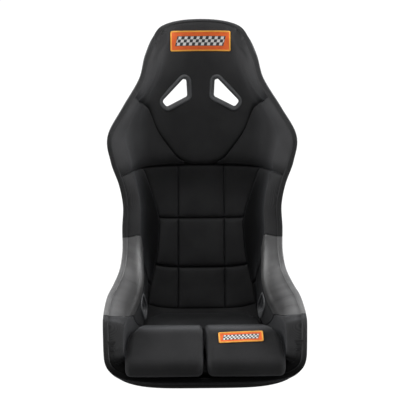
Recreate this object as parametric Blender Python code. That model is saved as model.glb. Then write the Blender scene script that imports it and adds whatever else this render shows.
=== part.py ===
"""Racing seat: a moulded shell, bonded cover panels, belt openings, and lift-out cushions.

Metres, +Z up. The seat faces -Y and stands on the flat underside of its shell. The origin is on
that underside, on the middle plane. The shell is one smooth surface: "along" is the distance
in metres from the front lip over the middle of the pan and up the back to the head, and "across"
runs from -1 at the left rim through 0 in the middle to 1 at the right rim. Depth is measured
from the outer face of the shell towards the driver.
"""
import functools
import math
from collections import namedtuple

import bmesh
import bpy
import numpy as np
from mathutils import Vector
from mathutils.bvhtree import BVHTree

MM = 0.001

# Sections of the shell, from the front lip to the head: (y, z) of the middle line, (y, z) of
# the rim, half width, squareness of the section, and pad thickness in the middle and at the rim
Station = namedtuple("Station", "name middle rim half_width squareness middle_pad rim_pad")
STATIONS = (
    Station("front_lip", (-0.309, 0.040), (-0.292, 0.146), 0.2600, 4.4, 0.010, 0.050),
    Station("under_lip", (-0.284, 0.0125), (-0.268, 0.180), 0.2615, 4.3, 0.010, 0.050),
    Station("thigh_front", (-0.222, 0.000), (-0.236, 0.193), 0.2612, 4.0, 0.010, 0.050),
    Station("thigh_middle", (-0.135, 0.000), (-0.178, 0.198), 0.2592, 3.9, 0.010, 0.055),
    Station("thigh_rear", (-0.040, 0.000), (-0.110, 0.205), 0.2530, 3.9, 0.010, 0.060),
    Station("hip_low", (0.060, 0.000), (-0.052, 0.217), 0.2385, 3.8, 0.010, 0.060),
    Station("hip_corner", (0.150, 0.036), (-0.003, 0.242), 0.2230, 3.5, 0.016, 0.054),
    Station("lumbar_low", (0.195, 0.117), (0.027, 0.284), 0.2155, 3.2, 0.028, 0.047),
    Station("lumbar", (0.218, 0.227), (0.046, 0.347), 0.2150, 3.1, 0.036, 0.045),
    Station("waist", (0.236, 0.337), (0.055, 0.410), 0.2125, 3.0, 0.038, 0.045),
    Station("chest", (0.252, 0.432), (0.055, 0.469), 0.2230, 2.7, 0.034, 0.040),
    Station("shoulder_low", (0.268, 0.522), (0.058, 0.532), 0.2440, 2.4, 0.026, 0.034),
    Station("shoulder", (0.284, 0.607), (0.070, 0.598), 0.2515, 2.2, 0.018, 0.030),
    Station("neck", (0.300, 0.687), (0.115, 0.662), 0.2125, 2.2, 0.016, 0.026),
    Station("head_low", (0.314, 0.757), (0.172, 0.729), 0.1670, 2.3, 0.016, 0.024),
    Station("head_middle", (0.325, 0.820), (0.222, 0.787), 0.1480, 2.4, 0.016, 0.023),
    Station("head_top", (0.322, 0.865), (0.262, 0.833), 0.1230, 2.2, 0.016, 0.022),
)
BASE_FLAT = 1.5 * MM          # how far the round underside is pressed flat
WALL = 4 * MM                 # shell laminate
FRONT_CORNER = 30 * MM        # radius of the outline at the front corners
HEAD_CORNER = 45 * MM         # radius of the outline at the head corners

# Seams between the cover panels: (across, along) or (along, across) points on the surface
HEAD_SEAM = ((0.00, 0.931), (0.10, 0.934), (0.19, 0.950), (0.27, 0.984), (0.35, 1.026),
             (0.415, 1.075), (0.60, 1.129), (0.80, 1.158), (1.00, 1.187))
CUSHION_EDGE = ((0.00, 0.50), (0.20, 0.50), (0.38, 0.47), (0.44, 0.435), (0.51, 0.425),
                (0.57, 0.435), (0.63, 0.410), (0.68, 0.388), (0.73, 0.388), (0.79, 0.408),
                (0.86, 0.460), (0.91, 0.560), (1.00, 0.640))
CHEST_SEAM = ((0.0, 0.930), (0.5, 0.929), (0.8, 0.919), (1.0, 0.919))
WEAR_SEAM = ((0.00, 0.860), (0.27, 0.865), (0.40, 0.885), (0.50, 0.888), (0.57, 0.850),
             (0.66, 0.825))
WEAR_FOOT = ((0.00, 0.290), (0.80, 0.290), (0.87, 0.262), (0.93, 0.198), (0.965, 0.148),
             (1.00, 0.110))
WEAR_HEAD = ((0.00, 0.610), (0.78, 0.610), (0.86, 0.632), (0.93, 0.655), (0.965, 0.657),
             (1.00, 0.640))
SHOULDER_TIP = 0.14           # across, where the shoulder panels start
SHOULDER_COLUMNS = (0.0, 0.04, 0.12, 0.20, 0.28, 0.37, 0.48, 0.60, 0.74, 0.88, 1.0)
CUSHION_FOOT = 0.513          # along, foot of the back cushion
CUSHION_HEAD = 0.927          # along, head of the back cushion
WEAR_FRONT, WEAR_TOP = 0.110, 0.640     # along, ends of the vinyl on the rim

PAD_RAMP = (0.42, 0.62)       # across, where the pads grow from their middle to rim thickness
BOND_GAP = 3.0 * MM           # adhesive between shell and panels
SEAM_GAP = 1.8 * MM           # from a seam line to each panel beside it
SEAM_DIP = 4.0 * MM           # how far a panel's edge sinks at a seam
RIM_EDGE = 3.0 * MM           # panel thickness where the rim trim takes over
TRIM_WIDTH = 6.5 * MM
TRIM_THICK = 2.0 * MM
TRIM_CLEAR = 1.8 * MM
PANEL_INSET = TRIM_WIDTH + 4.0 * MM
COVER = 2.4 * MM              # thickness of a cushion's cover
FIT = 0.5 * MM                # gap between a cover and its foam

# Belt openings, by their corners (along, across) on the right-hand side
SHOULDER_OPENING = ((1.178, 0.142), (1.121, 0.110), (1.096, 0.285), (1.114, 0.337))
LAP_OPENING = ((0.412, 0.62), (0.412, 0.80), (0.452, 0.80), (0.452, 0.62))
CROTCH_OPENING = ((-0.036, -0.132), (0.036, -0.132), (0.036, -0.108), (-0.036, -0.108))
BEZEL_WALL = 7.2 * MM
BEZEL_FLANGE = 13.0 * MM
BACKING_FLANGE = 17.0 * MM
BACKING_THICK = 3.0 * MM
SCREW_SHANK = 1.5 * MM
SCREW_HEAD = 3.2 * MM
SCREW_RING = 4.6 * MM         # screws sit this far outside the opening

# Lift-out cushions
LIFT = Vector((0.0, -0.34, 0.94))       # the way they come out
SEAT_LIFT, PAD_LIFT = 0.12, 0.20        # how far their sides have room
SEAT_FRONT, SEAT_STEP = -0.262, -0.018
SEAT_CORNER = 30 * MM
LIFT_STEPS = 36
OPEN_SIDE = 1.0               # stands for no side at all
SEAT_TOP_REAR, SEAT_TOP_FRONT = 0.0715, 0.0485
SIDE_CLEAR = 4 * MM
PAD_CLEAR = 6.5 * MM
SKIRT = 22 * MM               # height over the pan at which the seat cushion's foot is fitted
SLANT = 1.7                   # its cover is this much thicker sideways, where it slants
PAD_BOTTOM = 0.0515
PAD_PROFILE = ((-0.024, 0.0840), (-0.070, 0.1045), (-0.120, 0.1205), (-0.170, 0.1365),
               (-0.200, 0.1440), (-0.218, 0.1440), (-0.264, 0.1215), (-0.292, 0.1075),
               (-0.3130, 0.0930), (-0.3190, 0.0640))
PAD_MOUTH = -0.262            # y, in front of which the wings' sides fall away
PAD_GAP_REAR, PAD_GAP_FRONT = 2.5 * MM, 5.5 * MM
STRIP = 2.0 * MM              # hook strip
STRIP_GAP = 0.4 * MM
SEAT_STRIP_X, SEAT_STRIP_Y = (0.070, 0.115), (-0.185, 0.015)
PAD_STRIP_X, PAD_STRIP_Y = (0.075, 0.125), (-0.225, -0.060)

# Patches: half sizes on the head, and the leg patch on the pad's sloping face
PATCH = 1.6 * MM              # thickness
HEAD_PATCH_FROM_TOP = 52.5 * MM
HEAD_PATCH_HALF = (95 * MM, 29 * MM)
LEG_PATCH_FACE = 5            # upper point of the face in the pad's profile
LEG_PATCH_X = (0.0355, 0.1530)
LEG_PATCH_HALF = 18 * MM

# Side mounts: M8 inserts at (y, z) on each side, and how far their pads stand out there
MOUNT_PLACES = (("front", -0.185, 0.088, 7.5 * MM), ("rear", 0.108, 0.118, 10 * MM))
MOUNT_PAD_RADIUS = 19 * MM
INSERT_RADIUS = 11 * MM
INSERT_FLANGE = 2 * MM
INSERT_BARREL = 7 * MM
INSERT_BORE = 3.4 * MM
INSERT_DEPTH = 4.5 * MM

SIDES = (("left", -1), ("right", 1))
SHELL_ALONG = (0.0, 0.004, 0.011, 0.020, 0.032, 0.060, 0.085, 0.110, 0.150, 0.200, 0.255,
               0.310, 0.360, 0.400, 0.435, 0.465, 0.495, 0.525, 0.560, 0.600, 0.640, 0.720,
               0.800, 0.870, 0.930, 0.980, 1.020, 1.055, 1.090, 1.125, 1.160, 1.200, 1.245,
               1.284, 1.302, 1.316, 1.326, 1.332)
SHELL_ACROSS = (0.0, 0.20, 0.33, 0.42, 0.50, 0.58, 0.66, 0.73, 0.80, 0.89, 0.97, 1.0)
STEADY_ACROSS = (0.80, 0.50)  # columns up to here stay in line at the front and the head corners


# ---------------------------------------------------------------- the surface

def column(field):
    """One column of the station table."""
    return np.array([getattr(station, field) for station in STATIONS], float)


def distances(points):
    """Running distance along a list of points."""
    steps = np.linalg.norm(np.diff(points, axis=0), axis=1)
    return np.concatenate([[0.0], np.cumsum(steps)])


KNOTS = distances(column("middle"))
LENGTH = float(KNOTS[-1])


def smooth(knots, values, at):
    """Cubic curve through the values, read at one place."""
    knots, values = np.asarray(knots, float), np.asarray(values, float)
    at = min(max(at, knots[0]), knots[-1])
    spans = np.diff(knots)
    rates = (np.diff(values, axis=0).T / spans).T
    k = min(int(np.searchsorted(knots, at, side="right")) - 1, len(spans) - 1)

    def slope(i):
        if i == 0:
            return 1.5 * rates[0] - 0.5 * slope(1)
        if i == len(spans):
            return 1.5 * rates[-1] - 0.5 * slope(i - 1)
        return (rates[i - 1] * spans[i] + rates[i] * spans[i - 1]) / (spans[i - 1] + spans[i])

    t = (at - knots[k]) / spans[k]
    return (values[k] * (2 * t**3 - 3 * t**2 + 1) + values[k + 1] * (3 * t**2 - 2 * t**3)
            + spans[k] * ((t**3 - 2 * t**2 + t) * slope(k) + (t**3 - t**2) * slope(k + 1)))


def curve(points, at):
    """Smooth curve through a list of (place, value) points."""
    return float(smooth([p[0] for p in points], [p[1] for p in points], at))


@functools.lru_cache(maxsize=None)
def section(along):
    """Right half of the shell's section: points from the middle to the rim, and distances."""
    middle = smooth(KNOTS, column("middle"), along)
    rim = smooth(KNOTS, column("rim"), along)
    width = smooth(KNOTS, column("half_width"), along)
    power = 2 / smooth(KNOTS, column("squareness"), along)
    turn = np.linspace(0, math.pi / 2, 121)
    rise = 1 - np.clip(np.cos(turn), 0, 1) ** power
    points = np.stack([width * np.sin(turn) ** power,
                       middle[0] + (rim[0] - middle[0]) * rise,
                       middle[1] + (rim[1] - middle[1]) * rise], axis=1)
    return points, distances(points)


def half_length(along):
    """Distance over the surface from the middle line to the rim."""
    return float(section(round(along, 6))[1][-1])


def outer(along, across):
    """Point on the outer face of the shell."""
    points, run = section(round(min(max(along, 0.0), LENGTH), 6))
    place = abs(across) * run[-1]
    x, y, z = (np.interp(place, run, points[:, axis]) for axis in range(3))
    return Vector((math.copysign(x, across), y, max(z - BASE_FLAT, 0.0)))


def inward(along, across):
    """Unit normal of the shell, towards the driver."""
    step = 1.5 * MM
    tilt = 0.004
    low, high = max(along - step, 0.0), min(along + step, LENGTH)
    left, right = max(across - tilt, -1.0), min(across + tilt, 1.0)
    over = outer(along, right) - outer(along, left)
    up = outer(high, across) - outer(low, across)
    return over.cross(up).normalized()


def skin(along, across, depth):
    """Point at a depth inside the outer face of the shell."""
    return outer(along, across) + inward(along, across) * depth


def rim_across(along, inset=0.0):
    """Where the outline of the seat, or a line inset from it, crosses a section."""
    reach = half_length(min(max(along, 0.0), LENGTH)) - inset
    for gap, radius in ((along - inset, FRONT_CORNER), (LENGTH - inset - along, HEAD_CORNER)):
        radius -= inset
        if gap < radius:
            gap = max(gap, 0.0)
            reach -= radius - math.sqrt(radius**2 - (radius - gap) ** 2)
    return reach / half_length(min(max(along, 0.0), LENGTH))


def shell_across(along, column_place):
    """Position across of a column of the shell: only the outer ones follow round the corners."""
    steady = STEADY_ACROSS[0 if along < LENGTH / 2 else 1]
    if abs(column_place) <= steady:
        return column_place
    out = steady + (abs(column_place) - steady) / (1 - steady) * (rim_across(along) - steady)
    return math.copysign(out, column_place)


@functools.lru_cache(maxsize=None)
def edge_points(edge):
    """Points close together on one edge of the shell: side, front or head."""
    if edge == "side":
        return np.array([outer(a, rim_across(a)) for a in np.linspace(0.0, LENGTH, 700)])
    along = 0.0 if edge == "front" else LENGTH
    return np.array([outer(along, c) for c in np.linspace(0.0, rim_across(along), 200)])


def edge_distance(edge, along, across):
    """Straight distance from a point on the right half of the shell to an edge."""
    return float(np.linalg.norm(edge_points(edge) - np.array(outer(along, abs(across))), axis=1).min())


def rim_distance(along, across):
    """Straight distance to the outline."""
    return min(edge_distance(edge, along, across) for edge in ("side", "front", "head"))


@functools.lru_cache(maxsize=None)
def edge_table(edge, inset):
    """Line at a real distance from an edge, as places and values for interpolation."""
    places = np.linspace(0.0, LENGTH, 180) if edge == "side" else np.linspace(0.0, 1.0, 60)
    values = []
    for place in places:
        inner, end = {"side": (0.0, 1.0), "front": (0.2, 0.0), "head": (LENGTH - 0.2, LENGTH)}[edge]
        for _ in range(16):
            trial = (inner + end) / 2
            point = (place, trial) if edge == "side" else (trial, place)
            if edge_distance(edge, *point) > inset:
                inner = trial
            else:
                end = trial
        values.append(inner)
    return places, values


def edge_line(edge, inset):
    """Function that reads a line at a real distance from an edge."""
    return lambda place: float(np.interp(abs(place), *edge_table(edge, inset)))


def ease(value, low, high):
    """Smooth step from 0 at low to 1 at high."""
    t = min(max((value - low) / (high - low), 0.0), 1.0)
    return t * t * (3 - 2 * t)


def pad_depth(along, across):
    """Depth of the padded surface: thin in the middle, full at the sides, rolled at the rim."""
    middle = float(smooth(KNOTS, column("middle_pad"), along))
    rim = float(smooth(KNOTS, column("rim_pad"), along))
    body = middle + (rim - middle) * ease(abs(across), *PAD_RAMP)
    roll = max(0.85 * body, 14 * MM)
    reach = min(max(rim_distance(along, across) - PANEL_INSET - 0.1 * MM, 0.0) / roll, 1.0)
    start = BOND_GAP + RIM_EDGE
    return WALL + start + (body - RIM_EDGE) * math.sqrt(1 - (1 - reach) ** 2)


# ---------------------------------------------------------------- making solids

def finish(name, bm, material, smooth_angle=40):
    """Turn a bmesh into a named object with its material."""
    bmesh.ops.triangulate(bm, faces=bm.faces, quad_method="SHORT_EDGE")
    bmesh.ops.recalc_face_normals(bm, faces=bm.faces)
    if bm.calc_volume(signed=True) < 0:
        bmesh.ops.reverse_faces(bm, faces=bm.faces)
    mesh = bpy.data.meshes.new(name)
    bm.to_mesh(mesh)
    bm.free()
    mesh.shade_smooth()
    mesh.set_sharp_from_angle(angle=math.radians(smooth_angle))
    mesh.materials.append(material)
    item = bpy.data.objects.new(name, mesh)
    bpy.context.scene.collection.objects.link(item)
    return item


def spaced(count, border=0.0):
    """Even steps from 0 to 1, with an extra narrow step at both ends if a border is given."""
    if not border:
        return [i / count for i in range(count + 1)]
    inner = [border + (1 - 2 * border) * i / (count - 2) for i in range(count - 1)]
    return [0.0] + inner + [1.0]


def slab(name, point, rows, columns, material):
    """Closed solid between two sheets: point(a, b, is_top) gives both, with a and b from 0 to 1."""
    bm = bmesh.new()
    bmesh.ops.create_grid(bm, x_segments=len(columns) - 1, y_segments=len(rows) - 1, size=0.5)
    sheet = bmesh.ops.extrude_face_region(bm, geom=bm.faces[:])
    top = {item for item in sheet["geom"] if isinstance(item, bmesh.types.BMVert)}
    places = []
    for vert in bm.verts:
        b = columns[round((vert.co.x + 0.5) * (len(columns) - 1))]
        a = rows[round((vert.co.y + 0.5) * (len(rows) - 1))]
        places.append((vert, point(a, b, vert in top)))
    for vert, place in places:
        vert.co = place
    return finish(name, bm, material)


def panel(name, place, rows, columns, material, top=None, bottom=None, seams=(1, 1, 1, 0)):
    """Cover panel on the shell. place(a, b) gives (along, across); seams says which of the
    sides low a, high a, low b and high b are sewn and sink."""
    def point(a, b, is_top):
        along, across = place(a, b)
        if not is_top:
            return skin(along, across, bottom(a, b) if bottom else WALL + BOND_GAP)
        depth = top(a, b) if top else pad_depth(along, across)
        sewn = (a == 0 and seams[0], a == 1 and seams[1], b == 0 and seams[2], b == 1 and seams[3])
        if any(sewn):
            depth = max(depth - SEAM_DIP, WALL + BOND_GAP + RIM_EDGE)
        return skin(along, across, depth)
    return slab(name, point, rows, columns, material)


def rings_solid(name, rings, material, round_path=False, cap=None):
    """Closed solid through rings of points: capped at both ends, or joined round. cap gives the
    faces of an end, for a section that isn't convex."""
    bm = bmesh.new()
    loops = [[bm.verts.new(point) for point in ring] for ring in rings]
    pairs = list(zip(loops, loops[1:]))
    if round_path:
        pairs.append((loops[-1], loops[0]))
    else:
        for loop in (loops[0], loops[-1]):
            for face in cap or (range(len(loop)),):
                bm.faces.new([loop[i] for i in face])
    for one, two in pairs:
        for i in range(len(one)):
            j = (i + 1) % len(one)
            bm.faces.new((one[i], one[j], two[j], two[i]))
    return finish(name, bm, material)


def turned(name, centre, axis, profile, material, steps=20):
    """Solid turned about an axis through centre, from (radius, height) points."""
    axis = Vector(axis).normalized()
    side = axis.orthogonal().normalized()
    other = axis.cross(side)
    rings = []
    for i in range(steps):
        turn = 2 * math.pi * i / steps
        out = side * math.cos(turn) + other * math.sin(turn)
        rings.append([Vector(centre) + out * radius + axis * height for radius, height in profile])
    if all(radius > 0 for radius, _ in profile):
        return rings_solid(name, rings, material, round_path=True)
    bm = bmesh.new()
    loops = [[bm.verts.new(ring[k]) for ring in rings] for k, (r, _) in enumerate(profile) if r > 0]
    bm.faces.new(loops[0])
    bm.faces.new(loops[-1])
    for one, two in zip(loops, loops[1:]):
        for i in range(steps):
            j = (i + 1) % steps
            bm.faces.new((one[i], one[j], two[j], two[i]))
    return finish(name, bm, material)


def cut(item, *cutters):
    """Boolean difference with each cutter, which stays hidden."""
    for cutter in cutters:
        cutter.hide_render = True
        cutter.display_type = "WIRE"
        modifier = item.modifiers.new("cut_" + cutter.name, "BOOLEAN")
        modifier.operation = "DIFFERENCE"
        modifier.solver = "EXACT"
        modifier.object = cutter


# ---------------------------------------------------------------- belt openings

Frame = namedtuple("Frame", "origin x y axis")
LEVEL = Frame(Vector((0, 0, 0)), Vector((1, 0, 0)), Vector((0, 1, 0)), Vector((0, 0, 1)))


def frame_at(points, towards):
    """Plane through four corner points, its axis on the side that a direction points to."""
    origin = sum(points, Vector()) / len(points)
    axis = (points[2] - points[0]).cross(points[3] - points[1]).normalized()
    if axis.dot(towards) < 0:
        axis.negate()
    y = axis.cross(points[1] - points[0]).normalized()
    return Frame(origin, y.cross(axis), y, axis)


def mirrored(frame, side):
    """The frame itself for the right-hand side, or its mirror image for the left."""
    return Frame(*(Vector((part.x * side, part.y, part.z)) for part in frame))


def in_frame(frame, points):
    """Flat coordinates of points in a frame, counter-clockwise."""
    flat = [Vector(((p - frame.origin).dot(frame.x), (p - frame.origin).dot(frame.y))) for p in points]
    area = sum(a.x * b.y - b.x * a.y for a, b in zip(flat, flat[1:] + flat[:1]))
    return flat if area > 0 else flat[::-1]


def outline(corners, radius, grow, steps=3):
    """Rounded outline of a convex polygon, grown outwards."""
    points = []
    count = len(corners)
    for i, corner in enumerate(corners):
        before = (corner - corners[i - 1]).normalized()
        after = (corners[(i + 1) % count] - corner).normalized()
        first, last = Vector((before.y, -before.x)), Vector((after.y, -after.x))
        centre = corner - (first + last) / (1 + first.dot(last)) * radius
        for k in range(steps + 1):
            points.append(centre + first.slerp(last, k / steps) * (radius + grow))
    return points


def lift(frame, flat, height):
    """World point of a flat point at a height over a frame."""
    return frame.origin + frame.x * flat.x + frame.y * flat.y + frame.axis * height


def prism(name, frame, corners, radius, grow, low, high, material):
    """Straight prism of an opening's outline."""
    shape = outline(corners, radius, grow)
    return rings_solid(name, [[lift(frame, p, h) for p in shape] for h in (low, high)], material)


def bezel(name, frame, corners, radius, profile, material):
    """Ring round an opening, from (grow, height) points of its section."""
    loops = [outline(corners, radius, grow) for grow, _ in profile]
    rings = []
    for i in range(len(loops[0])):
        rings.append([lift(frame, loop[i], profile[k][1]) for k, loop in enumerate(loops)])
    return rings_solid(name, rings, material, round_path=True)


def tree_of(items):
    """Ray-casting tree of several evaluated objects."""
    bpy.context.view_layer.update()
    graph = bpy.context.evaluated_depsgraph_get()
    bm = bmesh.new()
    for item in items:
        mesh = item.evaluated_get(graph).to_mesh()
        bm.from_mesh(mesh)
    tree = BVHTree.FromBMesh(bm)
    bm.free()
    return tree


def heights(tree, frame, corners, radius, grow):
    """Heights over a frame at which the outline meets a surface, looking from behind."""
    found = []
    for flat in outline(corners, radius, grow):
        start = lift(frame, flat, -0.2)
        hit = tree.ray_cast(start, frame.axis)[0]
        if hit is not None:
            found.append((hit - frame.origin).dot(frame.axis))
    return found


def belt_opening(label, side, places, radius, screw_count, shell, cover, tree, looks):
    """Bezel, backing ring and screws of one belt opening, cut through its panel and the shell."""
    points = [skin(a, c, pad_depth(a, c)) for a, c in places]
    frame = frame_at(points, inward(*places[0]))
    corners = in_frame(frame, points)
    frame = mirrored(frame, side)
    behind = min(heights(tree, frame, corners, radius, BEZEL_WALL)
                 + heights(tree, frame, corners, radius, BACKING_FLANGE)) - 1.2 * MM
    front = max(heights(tree, frame, corners, radius, BEZEL_FLANGE)) + WALL + 0.8 * MM
    shelf = min(-6 * MM, max(front, -14 * MM))
    name = "_belt_bezel_"
    bezel(label + name + side_name(side), frame, corners, radius,
          ((0, behind + FIT), (0, -5 * MM), (2 * MM, -2 * MM), (4 * MM, 2.4 * MM),
           (10.5 * MM, 2.8 * MM), (BEZEL_FLANGE, 1.0 * MM), (BEZEL_FLANGE, shelf),
           (BEZEL_WALL, shelf), (BEZEL_WALL, behind + FIT)), looks["plastic"])
    backing = bezel(label + "_belt_backing_" + side_name(side), frame, corners, radius,
                    ((0, behind - BACKING_THICK), (BACKING_FLANGE - 2 * MM, behind - BACKING_THICK),
                     (BACKING_FLANGE, behind - 1.2 * MM), (BACKING_FLANGE, behind), (0, behind)),
                    looks["plastic"])
    guide = looks["guide"]
    cut(cover, prism("cut_cover_" + label + side_name(side), frame, corners, radius,
                     BEZEL_FLANGE + 0.7 * MM, -0.12, 0.06, guide))
    cut(shell, prism("cut_shell_" + label + side_name(side), frame, corners, radius,
                     BEZEL_WALL + 0.7 * MM, -0.12, 0.06, guide))
    ring = outline(corners, radius, SCREW_RING)
    front_ring = bpy.data.objects[label + name + side_name(side)]
    for i in range(screw_count):
        flat = ring[int((i + 0.5) * len(ring) / screw_count)]
        low = lift(frame, flat, behind - BACKING_THICK)
        number = str(i + 1)
        turned(f"{label}_belt_screw_{side_name(side)}_{number}", low, frame.axis,
               ((0, -2.3 * MM), (SCREW_HEAD * 0.7, -2.3 * MM), (SCREW_HEAD, -1.4 * MM),
                (SCREW_HEAD, -0.35 * MM), (SCREW_SHANK, -0.35 * MM), (SCREW_SHANK, 11 * MM),
                (0, 11 * MM)), looks["steel"], steps=8)
        for target, tag in ((backing, "a"), (front_ring, "b")):
            drill = turned(f"drill_{label}_{side_name(side)}_{number}{tag}", low, frame.axis,
                           ((0, -5 * MM), (SCREW_SHANK + 0.4 * MM, -5 * MM),
                            (SCREW_SHANK + 0.4 * MM, 11.8 * MM), (0, 11.8 * MM)), guide, steps=8)
            cut(target, drill)


def side_name(side):
    """Name of a side."""
    return "left" if side < 0 else "right"


# ---------------------------------------------------------------- sub-parts

def sheet_between(start, end, inner, outer_edge, side=1):
    """Placement of a panel between two lines along and two lines across the surface."""
    def place(a, b):
        along = start(0.7) + (end(0.7) - start(0.7)) * a
        across = 0.7
        for _ in range(6):
            across = inner(along) + (outer_edge(along) - inner(along)) * b
            along = start(abs(across)) + (end(abs(across)) - start(abs(across))) * a
        return along, across * side
    return place


def fixed(value):
    """A line at one value."""
    return lambda _: value


def seam_out(points, sign=1):
    """Across-position just beside a seam that is given along the seat."""
    return lambda along: curve(points, along) + sign * SEAM_GAP / half_length(along)


rim_line = edge_line("side", PANEL_INSET)       # outer edges of the panels, beside the trim
front_line = edge_line("front", PANEL_INSET)
head_line = edge_line("head", PANEL_INSET)


SHELL_ROWS = SHELL_ALONG + (LENGTH,)
SHELL_COLUMNS = tuple(-c for c in SHELL_ACROSS[:0:-1]) + SHELL_ACROSS


def make_shell(look):
    """The moulded shell."""
    def point(a, b, is_top):
        return skin(a, shell_across(a, b), WALL if is_top else 0.0)
    return slab("shell", point, SHELL_ROWS, SHELL_COLUMNS, look)


def make_trims(looks):
    """U-shaped edge trims over the rim of the shell, in four lengths."""
    def edge(along, side):
        return along, side * rim_across(along)

    def frame(points, i):
        along, across = points[i]
        before, after = points[max(i - 1, 0)], points[min(i + 1, len(points) - 1)]
        run = (outer(*after) - outer(*before)).normalized()
        normal = inward(along, across)
        return outer(along, across), normal.cross(run).normalized(), normal

    low, high = TRIM_CLEAR, WALL + TRIM_CLEAR
    profile = ((TRIM_WIDTH, -low), (TRIM_WIDTH, -low - TRIM_THICK),
               (-low, -low - TRIM_THICK), (-low - TRIM_THICK, -low), (-low - TRIM_THICK, high),
               (-low, high + TRIM_THICK), (TRIM_WIDTH, high + TRIM_THICK), (TRIM_WIDTH, high),
               (-low, high), (-low, -low))

    def trim(name, points, look):
        rings = []
        for i in range(len(points)):
            origin, into, normal = frame(points, i)
            rings.append([origin + into * d + normal * depth for d, depth in profile])
        shift = 0.6 * MM
        for end, near in ((0, 1), (-1, -2)):
            step = [b - a for a, b in zip(rings[end], rings[near])]
            rings[end] = [p + s.normalized() * shift for p, s in zip(rings[end], step)]
        rings_solid(name, rings, look, cap=((0, 1, 2, 9), (9, 2, 3), (9, 3, 4, 8), (8, 4, 5),
                                            (8, 5, 6, 7)))

    front = [a for a in SHELL_ROWS if 0 < a <= WEAR_FRONT]
    hip = [a for a in SHELL_ROWS if WEAR_FRONT <= a <= WEAR_TOP]
    back = [a for a in SHELL_ROWS if WEAR_TOP <= a < LENGTH]
    trim("rim_trim_front", [edge(a, -1) for a in front[::-1]]
         + [(0.0, shell_across(0.0, c)) for c in SHELL_COLUMNS] + [edge(a, 1) for a in front],
         looks["fabric"])
    trim("rim_trim_hip_right", [edge(a, 1) for a in hip], looks["vinyl"])
    trim("rim_trim_hip_left", [edge(a, -1) for a in hip[::-1]], looks["vinyl"])
    trim("rim_trim_back", [edge(a, 1) for a in back]
         + [(LENGTH, shell_across(LENGTH, c)) for c in SHELL_COLUMNS[::-1]]
         + [edge(a, -1) for a in back[::-1]], looks["fabric"])


def make_panels(looks):
    """Cover panels bonded to the shell. Returns them by name."""
    made = {}
    gap = SEAM_GAP
    fabric, vinyl = looks["fabric"], looks["vinyl"]

    def add(name, place, rows, columns, look, **options):
        made[name] = panel(name, place, rows, columns, look, **options)

    columns = [SHOULDER_TIP + (1 - SHOULDER_TIP) * b for b in SHOULDER_COLUMNS]
    columns = [-c for c in columns[::-1]] + [0.0] + columns
    add("head_panel", sheet_between(lambda c: curve(HEAD_SEAM, c) + gap, head_line,
                                    lambda a: -rim_line(a), rim_line),
        spaced(8, 0.03), [(1 + c) / 2 for c in columns], fabric, seams=(1, 0, 0, 0))
    for name, side in SIDES:
        add("shoulder_panel_" + name,
            sheet_between(lambda c: curve(CHEST_SEAM, c) + gap, lambda c: curve(HEAD_SEAM, c) - gap,
                          lambda a: SHOULDER_TIP * rim_line(a), rim_line, side),
            spaced(6, 0.08), SHOULDER_COLUMNS, fabric)
        add("side_bolster_" + name,
            sheet_between(lambda c: curve(WEAR_HEAD, c) + gap, lambda c: curve(CHEST_SEAM, c) - gap,
                          seam_out(CUSHION_EDGE), rim_line, side),
            spaced(9, 0.04), spaced(7, 0.06), fabric, seams=(0, 1, 1, 0))
        add("wear_panel_" + name,
            sheet_between(lambda c: curve(WEAR_FOOT, c) + gap,
                          lambda c: curve(WEAR_HEAD, c) - 1.7 * gap,
                          seam_out(WEAR_SEAM), rim_line, side),
            spaced(12, 0.02), spaced(6, 0.12), vinyl)
        add("hip_panel_" + name,
            sheet_between(lambda c: curve(WEAR_FOOT, c) + 1.7 * gap,
                          lambda c: curve(WEAR_HEAD, c) - 1.7 * gap,
                          seam_out(CUSHION_EDGE), seam_out(WEAR_SEAM, -1), side),
            spaced(9, 0.03), spaced(8, 0.05), fabric, seams=(0, 0, 0, 1))
        add("thigh_bolster_" + name,
            sheet_between(front_line, lambda c: curve(WEAR_FOOT, c) - gap,
                          seam_out(CUSHION_EDGE), rim_line, side),
            (0, 0.065, 0.13, 0.20, 0.30, 0.45, 0.60, 0.80, 1), spaced(9), fabric,
            seams=(0, 1, 0, 0))
    add("pan_liner", sheet_between(front_line, fixed(CUSHION_FOOT - gap),
                                   lambda a: -seam_out(CUSHION_EDGE, -1)(a),
                                   seam_out(CUSHION_EDGE, -1)),
        (0, 0.036, 0.073, 0.11, 0.147, 0.23, 0.32, 0.41, 0.50, 0.60, 0.70, 0.79, 0.87, 0.94, 1),
        (0, 0.06, 0.13, 0.25, 0.5, 0.75, 0.87, 0.94, 1), fabric, seams=(0, 0, 0, 0))
    return made


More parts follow.
